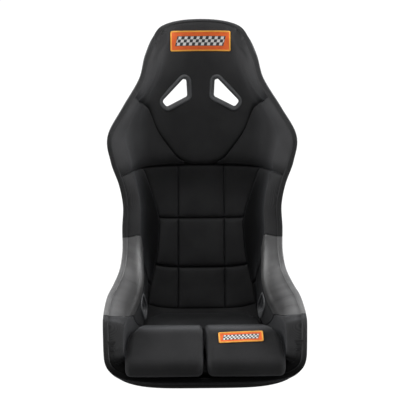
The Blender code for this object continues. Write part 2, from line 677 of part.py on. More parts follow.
def make_back_cushion(looks):
    """Quilted back cushion: a foam core under a cover with three by three blocks."""
    place = sheet_between(fixed(CUSHION_FOOT + SEAM_GAP), fixed(CUSHION_HEAD - SEAM_GAP),
                          lambda a: -seam_out(CUSHION_EDGE, -1)(a), seam_out(CUSHION_EDGE, -1))
    rows = (0.0, 0.03, 0.155, 0.28, 0.308, 0.336, 0.48, 0.62, 0.648, 0.676, 0.82, 0.965, 1.0)
    columns = (0.0, 0.04, 0.15, 0.255, 0.285, 0.315, 0.50, 0.685, 0.715, 0.745, 0.85, 0.96, 1.0)
    grooves_a, grooves_b = (0.308, 0.648), (0.285, 0.715)
    groove, crown = 7 * MM, 4 * MM

    def surface(a, b):
        depth = pad_depth(*place(a, b))
        block_a = min(abs(a - g) for g in (0.0, 1.0) + grooves_a)
        block_b = min(abs(b - g) for g in (0.0, 1.0) + grooves_b)
        if min(block_a, block_b) < 1e-6:
            return depth - groove
        return depth + crown * min(min(block_a, block_b) / 0.12, 1.0) - crown / 2

    panel("back_cushion_cover", place, rows, columns, looks["fabric"], top=surface,
          bottom=lambda a, b: surface(a, b) - COVER, seams=(0, 0, 0, 0))
    inset = sheet_between(fixed(CUSHION_FOOT + SEAM_GAP), fixed(CUSHION_HEAD - SEAM_GAP - COVER),
                          lambda a: -seam_out(CUSHION_EDGE, -3)(a), seam_out(CUSHION_EDGE, -3))
    panel("back_cushion_foam", inset, (0.0, 0.07, 0.155, 0.23, 0.308, 0.48, 0.648, 0.82, 1.0),
          (0.0, 0.07, 0.16, 0.285, 0.50, 0.715, 0.84, 0.93, 1.0), looks["foam"],
          top=lambda a, b: surface(a, b) - COVER - 5 * FIT, seams=(0, 0, 0, 0))


class Nest:
    """The padded hollow that the lift-out cushions sit in, measured by straight lines."""

    def __init__(self, items):
        self.tree = tree_of(items)

    def floor(self, x, y, z=0.35):
        """Height of the upholstery under a point."""
        return self.tree.ray_cast(Vector((x, y, z)), Vector((0, 0, -1)))[0].z

    def side(self, y, z):
        """Least distance from the middle to a side at one height, or a large one over the rim."""
        hits = [self.tree.ray_cast(Vector((0, y, z)), Vector((way, 0, 0)))[0] for way in (-1, 1)]
        return min((abs(hit.x) for hit in hits if hit is not None), default=OPEN_SIDE)

    def way_out(self, y, z, travel):
        """Least distance from the middle to a side while a point is lifted out."""
        return min(self.side(y + LIFT.y * travel * i / LIFT_STEPS,
                             z + LIFT.z * travel * i / LIFT_STEPS) for i in range(LIFT_STEPS + 1))

    def rear(self, low, high):
        """Least y of the back cushion's face between two heights."""
        hits = []
        for i in range(6):
            for x in (-0.12, 0.0, 0.12):
                start = Vector((x, 0.0, low + (high - low) * i / 5))
                hits.append(self.tree.ray_cast(start, Vector((0, 1, 0)))[0].y)
        return min(hits)


def bordered(values):
    """The values marked as inner ones, with the first and the last repeated as borders."""
    return [(values[0], True)] + [(value, False) for value in values] + [(values[-1], True)]


def covered(prefix, suffix, top, foot, rows, columns, looks):
    """Open-bottomed cover over a foam core. top and foot give points for a row, a column and a
    distance inside the cover. Returns both."""
    def cover_point(row, column, is_outer):
        place = foot if row[1] or column[1] else top
        return place(row[0], column[0], 0.0 if is_outer else COVER)

    def foam_point(row, column, is_top):
        return (top if is_top else foot)(row, column, COVER + (6 if is_top else 9) * FIT)
    return (slab(prefix + "_cover" + suffix, cover_point, bordered(rows), bordered(columns),
                 looks["fabric"]),
            slab(prefix + "_foam" + suffix, foam_point, rows, columns, looks["foam"]))


def make_seat_cushion(nest, looks):
    """Seat cushion, stepped down in front for the leg pads."""
    rear = nest.rear(0.062, SEAT_TOP_REAR) - SIDE_CLEAR
    rows = ((SEAT_FRONT, 1), (SEAT_FRONT + 13 * MM, 1), (-0.205, 0), (-0.145, 0), (-0.085, 0),
            (SEAT_STEP - 3 * MM, 1), (SEAT_STEP + 3 * MM, 1), (0.020, 0), (0.060, 0),
            (rear - 38 * MM, 0), (rear - 25 * MM, 0), (rear - 12 * MM, -1), (rear, -1))
    columns = (0.0, 0.03, 0.12, 0.26, 0.42, 0.58, 0.74, 0.88, 0.97, 1.0)

    def plan(row, b, shrink, levels):
        y = row[0] + row[1] * shrink
        width = min(nest.way_out(y, z, SEAT_LIFT) for z in levels) - SIDE_CLEAR - shrink * SLANT
        near = min(row[0] - SEAT_FRONT, rear - row[0])
        if near < SEAT_CORNER:
            width -= SEAT_CORNER - math.sqrt(SEAT_CORNER**2 - (SEAT_CORNER - near) ** 2)
        return width * (2 * b - 1), y

    def top(row, b, shrink):
        height = SEAT_TOP_REAR if row[0] > SEAT_STEP else SEAT_TOP_FRONT
        x, y = plan(row, b, shrink, (height, height - 5 * MM))
        edge = row in (rows[0], rows[-1]) or b in (0.0, 1.0)
        return Vector((x, y, height - shrink - (5 * MM if edge else 0.0)))

    def foot(row, b, shrink):
        skirt = nest.floor(0, row[0]) + SKIRT
        x, y = plan(row, b, shrink, (skirt,))
        return Vector((x, y, nest.floor(x, y, skirt) + STRIP + 1.6 * MM))

    slot = [Vector(place) for place in CROTCH_OPENING]
    for item in covered("seat_cushion", "", top, foot, rows, columns, looks):
        cut(item, prism("cut_slot_" + item.name, LEVEL, slot, 11 * MM, 15 * MM, -0.02, 0.12,
                        looks["guide"]))


def make_leg_pads(nest, looks):
    """Two leg pads side by side on the front of the seat cushion."""
    rear, front = PAD_PROFILE[0][0], PAD_PROFILE[-1][0]
    columns = (0.0, 0.035, 0.25, 0.5, 0.75, 0.965, 1.0)

    def plan(place, t, shrink, z, side):
        inwards = -1 if place[0] > (rear + front) / 2 else 1
        y = place[0] + inwards * (shrink + (6 * MM if t in (0.0, 1.0) else 0.0))
        reach = nest.way_out(max(y, PAD_MOUTH), z, PAD_LIFT) - PAD_CLEAR
        inner = PAD_GAP_REAR + (PAD_GAP_FRONT - PAD_GAP_REAR) * (place[0] - rear) / (front - rear)
        return side * (inner + shrink + (reach - inner - shrink * (1 + SLANT)) * t), y

    for name, side in SIDES:
        def top(place, t, shrink):
            x, y = plan(place, t, shrink, place[1], side)
            return Vector((x, y, place[1] - shrink - (5 * MM if t in (0.0, 1.0) else 0.0)))

        def foot(place, t, shrink):
            x, y = plan(place, t, shrink, PAD_BOTTOM, side)
            return Vector((x, y, PAD_BOTTOM))
        covered("leg_pad", "_" + name, top, foot, PAD_PROFILE, columns, looks)


def box(name, low, high, look):
    """Plain rectangular strip."""
    rings = [[Vector((x, y, z)) for x, y in ((low[0], low[1]), (high[0], low[1]),
                                             (high[0], high[1]), (low[0], high[1]))]
             for z in (low[2], high[2])]
    return rings_solid(name, rings, look)


def make_strips(nest, looks):
    """Hook strips that hold the cushions."""
    for name, side in SIDES:
        def point(a, b, is_top):
            x = side * (SEAT_STRIP_X[0] + (SEAT_STRIP_X[1] - SEAT_STRIP_X[0]) * b)
            y = SEAT_STRIP_Y[0] + (SEAT_STRIP_Y[1] - SEAT_STRIP_Y[0]) * a
            height = 2 * STRIP_GAP + (STRIP if is_top else 0.0)
            return Vector((x, y, nest.floor(x, y) + height))
        slab("seat_hook_strip_" + name, point, spaced(6), spaced(2), looks["hook"])
        x = sorted(side * place for place in PAD_STRIP_X)
        box("leg_pad_hook_strip_" + name, (x[0], PAD_STRIP_Y[0], SEAT_TOP_FRONT + STRIP_GAP),
            (x[1], PAD_STRIP_Y[1], PAD_BOTTOM - STRIP_GAP), looks["hook"])


def make_crotch_bezel(shell, liner, nest, looks):
    """One-piece bezel of the strap opening in the pan."""
    corners = [Vector(place) for place in CROTCH_OPENING]
    radius = 11 * MM
    top = max(nest.floor(0.05, -0.12), nest.floor(0.0, -0.08)) + 1.2 * MM
    bezel("crotch_belt_bezel", LEVEL, corners, radius,
          ((0, 0.8 * MM), (0, top), (2 * MM, top + 1.6 * MM), (9 * MM, top + 1.6 * MM),
           (11 * MM, top), (11 * MM, WALL + 2.6 * MM), (5 * MM, WALL + 2.6 * MM),
           (5 * MM, 0.8 * MM)), looks["plastic"])
    cut(shell, prism("cut_shell_crotch", LEVEL, corners, radius, 5.7 * MM, -0.02, 0.08,
                     looks["guide"]))
    cut(liner, prism("cut_liner_crotch", LEVEL, corners, radius, 11.8 * MM, -0.02, 0.08,
                     looks["guide"]))


def make_side_mounts(tree, looks):
    """Flat mounting pads with threaded inserts on both sides of the shell."""
    def clearance(a, b, is_top):
        return skin(a, shell_across(a, b), 20 * MM if is_top else -FIT)
    shell_room = slab("cut_mount_pads", clearance, SHELL_ROWS, SHELL_COLUMNS, looks["guide"])
    for name, side in SIDES:
        for place, y, z, proud in MOUNT_PLACES:
            hit = tree.ray_cast(Vector((side * 0.5, y, z)), Vector((-side, 0, 0)))[0]
            face = Vector((hit.x + side * proud, y, z))
            out = Vector((side, 0, 0))
            pad = turned(f"side_mount_pad_{place}_{name}", face, out,
                         ((0, -0.018), (MOUNT_PAD_RADIUS, -0.018), (MOUNT_PAD_RADIUS, -1 * MM),
                          (MOUNT_PAD_RADIUS - 1 * MM, 0), (0, 0)), looks["laminate"], steps=16)
            cut(pad, shell_room)
            cut(pad, turned(f"drill_mount_{place}_{name}", face, out,
                            ((0, -INSERT_DEPTH - 0.6 * MM),
                             (INSERT_BARREL + 0.4 * MM, -INSERT_DEPTH - 0.6 * MM),
                             (INSERT_BARREL + 0.4 * MM, 3 * MM), (0, 3 * MM)),
                            looks["guide"], steps=16))
            turned(f"side_mount_insert_{place}_{name}", face, out,
                   ((INSERT_BORE, -INSERT_DEPTH), (INSERT_BARREL, -INSERT_DEPTH),
                    (INSERT_BARREL, 0.4 * MM), (INSERT_RADIUS, 0.4 * MM),
                    (INSERT_RADIUS, 0.4 * MM + INSERT_FLANGE),
                    (INSERT_BORE, 0.4 * MM + INSERT_FLANGE)), looks["steel"], steps=16)


def make_patches(head_panel, looks):
    """Plain sewn patches on the head panel and on the right leg pad."""
    centre = LENGTH - HEAD_PATCH_FROM_TOP
    cover = tree_of([head_panel])
    away = inward(centre, 0.0)

    def head(a, b, is_top):
        along = centre + HEAD_PATCH_HALF[1] * (2 * a - 1)
        across = HEAD_PATCH_HALF[0] * (2 * b - 1) / half_length(along)
        start = skin(along, across, pad_depth(along, across)) + away * 0.04
        hit = cover.ray_cast(start, -away)[0]
        return hit + away * (2.6 * MM + (PATCH if is_top else 0.0))
    slab("head_patch", head, spaced(5, 0.06), spaced(12, 0.03), looks["patch"])

    upper, lower = (Vector((0.0, *PAD_PROFILE[LEG_PATCH_FACE + i])) for i in range(2))
    run = (upper - lower).normalized()
    out = Vector((1, 0, 0)).cross(run)
    middle = (upper + lower) / 2

    def leg(a, b, is_top):
        x = LEG_PATCH_X[0] + (LEG_PATCH_X[1] - LEG_PATCH_X[0]) * b
        height = FIT + (PATCH if is_top else 0.0)
        return middle + run * LEG_PATCH_HALF * (2 * a - 1) + out * height + Vector((x, 0, 0))
    slab("leg_pad_patch", leg, spaced(2), spaced(4), looks["patch"])


def make_looks():
    """Materials: colour, roughness and metallic value."""
    table = {
        "laminate": ((0.012, 0.012, 0.013), 0.45, 0.0), "fabric": ((0.010, 0.010, 0.011), 0.95, 0.0),
        "vinyl": ((0.014, 0.014, 0.015), 0.38, 0.0), "foam": ((0.12, 0.12, 0.13), 0.95, 0.0),
        "plastic": ((0.045, 0.047, 0.050), 0.50, 0.0), "steel": ((0.55, 0.55, 0.56), 0.35, 1.0),
        "hook": ((0.008, 0.008, 0.008), 0.90, 0.0), "patch": ((0.80, 0.11, 0.015), 0.75, 0.0),
        "guide": ((0.5, 0.5, 0.5), 0.50, 0.0),
    }
    looks = {}
    for name, (colour, roughness, metallic) in table.items():
        material = bpy.data.materials.new(name)
        material.use_nodes = True
        shader = material.node_tree.nodes["Principled BSDF"]
        shader.inputs["Base Color"].default_value = (*colour, 1)
        shader.inputs["Roughness"].default_value = roughness
        shader.inputs["Metallic"].default_value = metallic
        looks[name] = material
    return looks


def main():
    """Build the seat."""
    for item in list(bpy.context.scene.objects):
        bpy.data.objects.remove(item)
    looks = make_looks()
    shell = make_shell(looks["laminate"])
    whole_shell = tree_of([shell])
    make_trims(looks)
    panels = make_panels(looks)
    make_back_cushion(looks)
    nest = Nest(list(panels.values()) + [bpy.data.objects["back_cushion_cover"]])
    make_seat_cushion(nest, looks)
    make_leg_pads(nest, looks)
    make_strips(nest, looks)
    make_crotch_bezel(shell, panels["pan_liner"], nest, looks)
    make_side_mounts(whole_shell, looks)
    make_patches(panels["head_panel"], looks)
    for name, side in SIDES:
        belt_opening("shoulder", side, SHOULDER_OPENING, 7 * MM, 3, shell, panels["head_panel"],
                     whole_shell, looks)
        belt_opening("lap", side, LAP_OPENING, 12 * MM, 2, shell, panels["hip_panel_" + name],
                     whole_shell, looks)


main()
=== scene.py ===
"""Looks of a racing seat: padded covers, cushions, edge trims, belt openings and moulded shell.

Metres, +Z up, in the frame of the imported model. The seat faces -Y. The shell is one smooth
surface: "along" is the distance from the front lip over the middle of the pan and up to the head,
"across" runs from -1 at the left rim through 0 in the middle to 1 at the right rim, and depth is
measured from the outer face of the shell towards the driver.
"""

import logging
import math
from dataclasses import dataclass
from enum import Enum
from typing import Callable, Optional, Sequence, Union

import bmesh
import bpy
import numpy as np
from mathutils import Matrix, Vector
from mathutils.bvhtree import BVHTree

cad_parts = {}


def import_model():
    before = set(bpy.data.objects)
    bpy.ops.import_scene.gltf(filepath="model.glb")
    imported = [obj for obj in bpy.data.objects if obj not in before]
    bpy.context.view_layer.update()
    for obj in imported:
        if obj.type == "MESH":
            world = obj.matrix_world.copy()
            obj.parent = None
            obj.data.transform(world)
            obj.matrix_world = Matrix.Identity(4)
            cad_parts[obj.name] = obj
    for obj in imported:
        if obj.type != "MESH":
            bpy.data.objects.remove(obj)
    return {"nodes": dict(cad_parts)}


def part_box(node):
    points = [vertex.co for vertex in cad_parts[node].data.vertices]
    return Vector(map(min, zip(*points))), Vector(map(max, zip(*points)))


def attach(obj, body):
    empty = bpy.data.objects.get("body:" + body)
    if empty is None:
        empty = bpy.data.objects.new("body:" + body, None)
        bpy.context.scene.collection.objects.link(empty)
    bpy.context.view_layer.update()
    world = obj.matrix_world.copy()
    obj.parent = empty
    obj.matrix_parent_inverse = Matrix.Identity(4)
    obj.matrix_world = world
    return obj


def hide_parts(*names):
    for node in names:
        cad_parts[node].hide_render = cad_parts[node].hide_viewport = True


LOG = logging.getLogger("seat")
MM = 0.001
Array = np.ndarray
Pair = tuple[float, float]
Triple = tuple[float, float, float]
Profile = list[Pair]
Line = Callable[[Array], Array]
Field = Callable[[Array, Array], Array]
Piece = bpy.types.Object
Mesh = bmesh.types.BMesh
Material = bpy.types.Material
Tree = bpy.types.NodeTree
Output = bpy.types.NodeSocket
Outputs = bpy.types.bpy_prop_collection
Socket = Union[Output, float, Sequence[float]]
SIDES = (("left", -1), ("right", 1))
SEAT_BODY = "seat_body"


# ---- the surface of the seat

@dataclass(frozen=True)
class Station:
    """One section of the shell: its middle and rim as (y, z), its width and its padding."""

    name: str
    middle: Pair
    rim: Pair
    half_width: float
    squareness: float
    middle_pad: float
    rim_pad: float


STATIONS = (
    Station("front_lip", (-0.309, 0.040), (-0.292, 0.146), 0.2600, 4.4, 0.010, 0.042),
    Station("under_lip", (-0.284, 0.0125), (-0.268, 0.180), 0.2615, 4.3, 0.010, 0.043),
    Station("thigh_front", (-0.222, 0.000), (-0.236, 0.193), 0.2612, 4.0, 0.010, 0.048),
    Station("thigh_middle", (-0.135, 0.000), (-0.178, 0.198), 0.2592, 3.9, 0.010, 0.055),
    Station("thigh_rear", (-0.040, 0.000), (-0.110, 0.205), 0.2530, 3.9, 0.010, 0.060),
    Station("hip_low", (0.060, 0.000), (-0.052, 0.217), 0.2385, 3.8, 0.010, 0.060),
    Station("hip_corner", (0.150, 0.036), (-0.003, 0.242), 0.2230, 3.5, 0.016, 0.054),
    Station("lumbar_low", (0.195, 0.117), (0.027, 0.284), 0.2155, 3.2, 0.028, 0.044),
    Station("lumbar", (0.218, 0.227), (0.046, 0.347), 0.2150, 3.1, 0.036, 0.038),
    Station("waist", (0.236, 0.337), (0.055, 0.410), 0.2125, 3.0, 0.038, 0.036),
    Station("chest", (0.252, 0.432), (0.055, 0.469), 0.2230, 2.7, 0.034, 0.035),
    Station("shoulder_low", (0.268, 0.522), (0.058, 0.532), 0.2440, 2.4, 0.026, 0.034),
    Station("shoulder", (0.284, 0.607), (0.070, 0.598), 0.2515, 2.2, 0.018, 0.030),
    Station("neck", (0.300, 0.687), (0.115, 0.662), 0.2125, 2.2, 0.016, 0.026),
    Station("head_low", (0.314, 0.757), (0.172, 0.729), 0.1670, 2.3, 0.016, 0.024),
    Station("head_middle", (0.325, 0.820), (0.222, 0.787), 0.1480, 2.4, 0.016, 0.023),
    Station("head_top", (0.322, 0.865), (0.262, 0.833), 0.1230, 2.2, 0.016, 0.022),
)
# The shell: how much of its belly is cut flat, its thickness and the corners of its outline
BASE_FLAT, WALL = 1.5 * MM, 4 * MM
FRONT_CORNER, HEAD_CORNER = 30 * MM, 45 * MM

# The padding: where it thickens towards the sides, and its layers at the rim
PAD_RAMP = (0.42, 0.62)
BOND_GAP, RIM_EDGE, EDGE_INSET = 3.0 * MM, 3.0 * MM, 1.5 * MM

# Its rolled edge: the width of the roll, and the stretches along where that width changes
FRONT_ROLL, RIM_ROLL, HIP_ROLL, SHOULDER_ROLL = 13 * MM, 15 * MM, 28 * MM, 60 * MM
HIP_START, HIP_END = (0.10, 0.30), (0.50, 0.72)
SHOULDER_RUN, HEAD_RUN = (0.84, 1.00), (1.08, 1.22)
HEAD_EASING, ROUNDNESS, SHOULDER_SLOPE = 0.45, 0.70, 0.45

# How the place of a point between four curved lines is worked out
FIRST_GUESS, ROUNDS = 0.7, 8

# Seams between the covers, as (across, along) or (along, across) points on the surface
HEAD_SEAM = ((0.00, 0.931), (0.10, 0.934), (0.19, 0.950), (0.27, 0.984), (0.35, 1.026),
             (0.415, 1.075), (0.60, 1.130), (0.80, 1.163), (0.90, 1.178), (1.00, 1.189))
CUSHION_EDGE = ((0.00, 0.50), (0.20, 0.50), (0.38, 0.47), (0.44, 0.435), (0.51, 0.425),
                (0.57, 0.435), (0.63, 0.410), (0.68, 0.388), (0.73, 0.388), (0.770, 0.390),
                (0.790, 0.406), (0.86, 0.492), (0.91, 0.556), (1.00, 0.640))
CHEST_SEAM = ((0.0, 0.930), (0.5, 0.929), (0.8, 0.919), (1.0, 0.919))
WEAR_SEAM = ((0.00, 0.860), (0.27, 0.865), (0.40, 0.885), (0.50, 0.888), (0.57, 0.850),
             (0.66, 0.825))
WEAR_FOOT = ((0.00, 0.290), (0.80, 0.290), (0.87, 0.262), (0.93, 0.198), (0.965, 0.148),
             (1.00, 0.110))
WEAR_HEAD = ((0.00, 0.610), (0.78, 0.610), (0.86, 0.632), (0.93, 0.655), (0.965, 0.657),
             (1.00, 0.640))
SHOULDER_TIP = 0.14
CUSHION_FOOT, CUSHION_HEAD = 0.513, 0.927
WEAR_FRONT, WEAR_TOP = 0.110, 0.640


def read_curve(knots: Sequence[float], values: Sequence[float], at: Array) -> Array:
    """Reads a smooth cubic curve through values.

    Args:
        knots: Rising places of the values.
        values: One value at each knot.
        at: Places to read.

    Returns:
        The curve's values, in the shape of at.
    """
    knots, values = np.asarray(knots, float), np.asarray(values, float)
    at = np.clip(np.asarray(at, float), knots[0], knots[-1])
    spans = np.diff(knots)
    rates = np.diff(values) / spans
    slopes = np.empty(len(knots))
    slopes[1:-1] = (rates[:-1] * spans[1:] + rates[1:] * spans[:-1]) / (spans[:-1] + spans[1:])
    slopes[0] = 1.5 * rates[0] - 0.5 * slopes[1]
    slopes[-1] = 1.5 * rates[-1] - 0.5 * slopes[-2]
    k = np.clip(np.searchsorted(knots, at, side="right") - 1, 0, len(spans) - 1)
    t = (at - knots[k]) / spans[k]
    return (values[k] * (2 * t**3 - 3 * t**2 + 1) + values[k + 1] * (3 * t**2 - 2 * t**3)
            + spans[k] * ((t**3 - 2 * t**2 + t) * slopes[k] + (t**3 - t**2) * slopes[k + 1]))


def line(points: Sequence[Pair], shift: float = 0.0) -> Line:
    """Returns a smooth line through (place, value) points, moved by shift."""
    knots, values = zip(*points)
    return lambda at: read_curve(knots, values, at) + shift


def level(value: float) -> Line:
    """Returns a line at one value."""
    return lambda at: np.full(np.shape(at), value, float)


def running(points: Array) -> Array:
    """Returns the running distance along a list of points."""
    steps = np.linalg.norm(np.diff(points, axis=0), axis=1)
    return np.concatenate([[0.0], np.cumsum(steps)])


def read_path(points: Array, run: Array, at: Union[float, Array]) -> Array:
    """Returns points at running distances along a path, whose own running distances are run."""
    return np.stack([np.interp(at, run, column) for column in points.T], axis=-1)


def ease(value: Array, low: float, high: float) -> Array:
    """Returns a smooth step from 0 at low to 1 at high."""
    t = np.clip((value - low) / (high - low), 0.0, 1.0)
    return t * t * (3 - 2 * t)


def quarter_round(distance: Array, radius: float) -> Array:
    """Returns how far a rolled edge lies below its face, from 1 at the edge to 0 at the radius."""
    t = np.clip(distance / radius, 0.0, 1.0)
    return 1 - np.sqrt(1 - (1 - t) ** 2)


def unit(vectors: Array) -> Array:
    """Returns vectors at length 1."""
    return vectors / np.linalg.norm(vectors, axis=-1, keepdims=True)


class Edge(Enum):
    """The three edges of the shell."""

    SIDE = "side"
    FRONT = "front"
    HEAD = "head"


class SeatSurface:
    """The shell's surface as a dense table that every piece is laid on."""

    ROWS, COLUMNS, TURNS = 601, 161, 241
    DISTANCE_ROWS, DISTANCE_COLUMNS = 301, 121
    SIDE_SAMPLES, END_SAMPLES = 700, 200
    SIDE_PLACES, END_PLACES, HALVINGS = 500, 90, 22
    END_REACH = 0.2

    def __init__(self) -> None:
        """Works out points, normals and distances to the edges."""
        self.knots = running(np.array([station.middle for station in STATIONS]))
        self.length = float(self.knots[-1])
        alongs = np.linspace(0.0, self.length, self.ROWS)
        middle = [self._column("middle", alongs, k) for k in (0, 1)]
        rim = [self._column("rim", alongs, k) for k in (0, 1)]
        width = self._column("half_width", alongs)
        power = (2 / self._column("squareness", alongs))[:, None]
        turn = np.linspace(0, math.pi / 2, self.TURNS)[None, :]
        rise = 1 - np.clip(np.cos(turn), 0, 1) ** power
        curve = np.stack([width[:, None] * np.sin(turn) ** power,
                          middle[0][:, None] + (rim[0] - middle[0])[:, None] * rise,
                          middle[1][:, None] + (rim[1] - middle[1])[:, None] * rise], axis=2)
        places = np.linspace(0.0, 1.0, self.COLUMNS)
        self.points = np.empty((self.ROWS, self.COLUMNS, 3))
        self.halves = np.empty(self.ROWS)
        for i in range(self.ROWS):
            run = running(curve[i])
            self.halves[i] = run[-1]
            self.points[i] = read_path(curve[i], run, places * run[-1])
        self.points[:, :, 2] = np.maximum(self.points[:, :, 2] - BASE_FLAT, 0.0)
        over = np.gradient(self.points, axis=1)
        up = np.gradient(self.points, axis=0)
        normals = np.cross(over, up)
        normals[:, 0, 0] = 0.0
        self.normals = unit(normals)
        self.distance_tables = {edge: self._distance_table(edge) for edge in Edge}

    def _column(self, name: str, at: Array, part: Optional[int] = None) -> Array:
        """Reads one column of the stations at places along."""
        values = [getattr(station, name) for station in STATIONS]
        if part is not None:
            values = [value[part] for value in values]
        return read_curve(self.knots, values, at)

    def _sample(self, table: Array, along: Array, across: Array) -> Array:
        """Reads a table between its rows and columns."""
        rows, columns = table.shape[:2]
        fi = np.clip(along / self.length, 0, 1) * (rows - 1)
        fj = np.clip(np.abs(across), 0, 1) * (columns - 1)
        i = np.minimum(fi.astype(int), rows - 2)
        j = np.minimum(fj.astype(int), columns - 2)
        u, v = fi - i, fj - j
        if table.ndim == 3:
            u, v = u[..., None], v[..., None]
        return ((table[i, j] * (1 - u) + table[i + 1, j] * u) * (1 - v)
                + (table[i, j + 1] * (1 - u) + table[i + 1, j + 1] * u) * v)

    def _distance_table(self, edge: Edge) -> Array:
        """Returns a table of straight distances from the surface to one edge."""
        if edge is Edge.SIDE:
            along = np.linspace(0.0, self.length, self.SIDE_SAMPLES)
            reach = self.rim_across(along)
        else:
            along = np.full(self.END_SAMPLES, 0.0 if edge is Edge.FRONT else self.length)
            reach = np.linspace(0.0, float(self.rim_across(along[:1])[0]), self.END_SAMPLES)
        rim = self.outer(along, reach)
        table = np.empty((self.DISTANCE_ROWS, self.DISTANCE_COLUMNS))
        across = np.linspace(0.0, 1.0, self.DISTANCE_COLUMNS)
        for i, place in enumerate(np.linspace(0.0, self.length, self.DISTANCE_ROWS)):
            row = self.outer(np.full(self.DISTANCE_COLUMNS, place), across)
            table[i] = np.linalg.norm(row[:, None, :] - rim[None, :, :], axis=2).min(axis=1)
        return table

    def half_length(self, along: Array) -> Array:
        """Returns the distance over the surface from the middle line to the rim."""
        return np.interp(along, np.linspace(0.0, self.length, self.ROWS), self.halves)

    def rim_across(self, along: Array) -> Array:
        """Returns where the outline of the seat crosses each section."""
        half = self.half_length(np.clip(along, 0.0, self.length))
        reach = half.copy()
        for gap, radius in ((along, FRONT_CORNER), (self.length - along, HEAD_CORNER)):
            part = np.clip(radius - gap, 0.0, radius)
            reach -= radius - np.sqrt(radius**2 - part**2)
        return reach / half

    def outer(self, along: Array, across: Array) -> Array:
        """Returns points on the outer face of the shell."""
        found = self._sample(self.points, along, across)
        found[..., 0] *= np.where(across < 0, -1.0, 1.0)
        return found

    def inward(self, along: Array, across: Array) -> Array:
        """Returns the shell's unit normals, towards the driver."""
        found = self._sample(self.normals, along, across)
        found[..., 0] *= np.where(across < 0, -1.0, 1.0)
        return unit(found)

    def skin(self, along: Array, across: Array, depth: Array) -> Array:
        """Returns points at a depth inside the outer face."""
        inwards = self.inward(along, across) * np.asarray(depth)[..., None]
        return self.outer(along, across) + inwards

    def edge_distance(self, edge: Edge, along: Array, across: Array) -> Array:
        """Returns the straight distance to one edge."""
        return self._sample(self.distance_tables[edge], along, across)

    def rim_distance(self, along: Array, across: Array) -> Array:
        """Returns the straight distance to the outline."""
        return np.minimum.reduce([self.edge_distance(edge, along, across) for edge in Edge])

    def edge_line(self, edge: Edge, inset: float) -> Line:
        """Returns the line on the surface at a real distance from an edge."""
        if edge is Edge.SIDE:
            turn = np.linspace(0.0, math.pi, self.SIDE_PLACES)
            places = self.length * (1 - np.cos(turn)) / 2
            near, far = 0.0, 1.0
        else:
            places = np.linspace(0.0, 1.0, self.END_PLACES)
            near, far = self.END_REACH, 0.0
            if edge is Edge.HEAD:
                near, far = self.length - near, self.length
        inner, end = np.full(len(places), near), np.full(len(places), far)
        for _ in range(self.HALVINGS):
            trial = (inner + end) / 2
            pair = (places, trial) if edge is Edge.SIDE else (trial, places)
            far_enough = self.edge_distance(edge, *pair) > inset
            inner = np.where(far_enough, trial, inner)
            end = np.where(far_enough, end, trial)
        return lambda at: np.interp(np.abs(at), places, inner)

    def pad_depth(self, along: Array, across: Array) -> Array:
        """Returns the depth of the padded surface: full at the sides and rolled at the rim."""
        middle = self._column("middle_pad", along)
        rim = self._column("rim_pad", along)
        body = middle + (rim - middle) * ease(np.abs(across), *PAD_RAMP)
        edge = np.minimum(self.edge_distance(Edge.SIDE, along, across),
                          self.edge_distance(Edge.HEAD, along, across))
        shoulder = ease(along, *SHOULDER_RUN) * (1 - HEAD_EASING * ease(along, *HEAD_RUN))
        hip = ease(along, *HIP_START) * (1 - ease(along, *HIP_END))
        roll = RIM_ROLL + (SHOULDER_ROLL - RIM_ROLL) * shoulder + (HIP_ROLL - RIM_ROLL) * hip
        reach = np.clip((edge - EDGE_INSET) / roll, 0.0, 1.0)
        rounded = ROUNDNESS - SHOULDER_SLOPE * shoulder
        rise = rounded * np.sqrt(1 - (1 - reach) ** 2)
        rise += (1 - rounded) * np.sin(math.pi / 2 * reach)
        lip = self.edge_distance(Edge.FRONT, along, across) - EDGE_INSET
        rise *= 1 - quarter_round(lip, FRONT_ROLL)
        return WALL + BOND_GAP + RIM_EDGE + (body - RIM_EDGE) * rise


@dataclass(frozen=True)
class Region:
    """Part of the surface between two lines along it and two lines across it."""

    surface: SeatSurface
    start: Line
    end: Line
    inner: Line
    outer: Line
    side: int = 1
    side_wall: bool = False

    def place(self, a: Array, b: Array) -> tuple[Array, Array]:
        """Finds places on the surface.

        Args:
            a: From 0 at the start line to 1 at the end line.
            b: From 0 at the inner line to 1 at the outer line.

        Returns:
            The places along and across.
        """
        first = np.full(np.shape(a), FIRST_GUESS)
        along = self.start(first) + (self.end(first) - self.start(first)) * a
        across = first
        for _ in range(ROUNDS):
            across = self.inner(along) + (self.outer(along) - self.inner(along)) * b
            low, high = self.start(np.abs(across)), self.end(np.abs(across))
            along = low + (high - low) * a
        return along, across * self.side

    def distances(self, a: Array, b: Array) -> tuple[Array, ...]:
        """Returns the distances in metres to the low a, high a, low b and high b sides."""
        along, across = self.place(a, b)
        height = self.end(np.abs(across)) - self.start(np.abs(across))
        half, size = self.surface.half_length(along), across * self.side
        return (a * height, (1 - a) * height, (size - self.inner(along)) * half,
                (self.outer(along) - size) * half)

    def size(self) -> Pair:
        """Returns the height and the width at the middle of the region."""
        middle = np.array([0.5])
        low_a, high_a, low_b, high_b = self.distances(middle, middle)
        return float((low_a + high_a)[0]), float((low_b + high_b)[0])


@dataclass(frozen=True)
class QuiltRegion(Region):
    """Region over the middle whose two columns stay at a steady distance from it."""

    marks: Pair = (0.285, 0.715)
    column: float = 68 * MM

    def place(self, a: Array, b: Array) -> tuple[Array, Array]:
        """Finds places on the surface, as Region does."""
        along = self.start(b) + (self.end(b) - self.start(b)) * a
        near, edge = self.column / self.surface.half_length(along), self.outer(along)
        (low, high), middle = self.marks, near * (2 * b - 1) / (self.marks[1] - self.marks[0])
        left = -edge + (edge - near) * b / low
        right = near + (edge - near) * (b - high) / (1 - high)
        return along, np.where(b < low, left, np.where(b > high, right, middle))


# ---- finishes

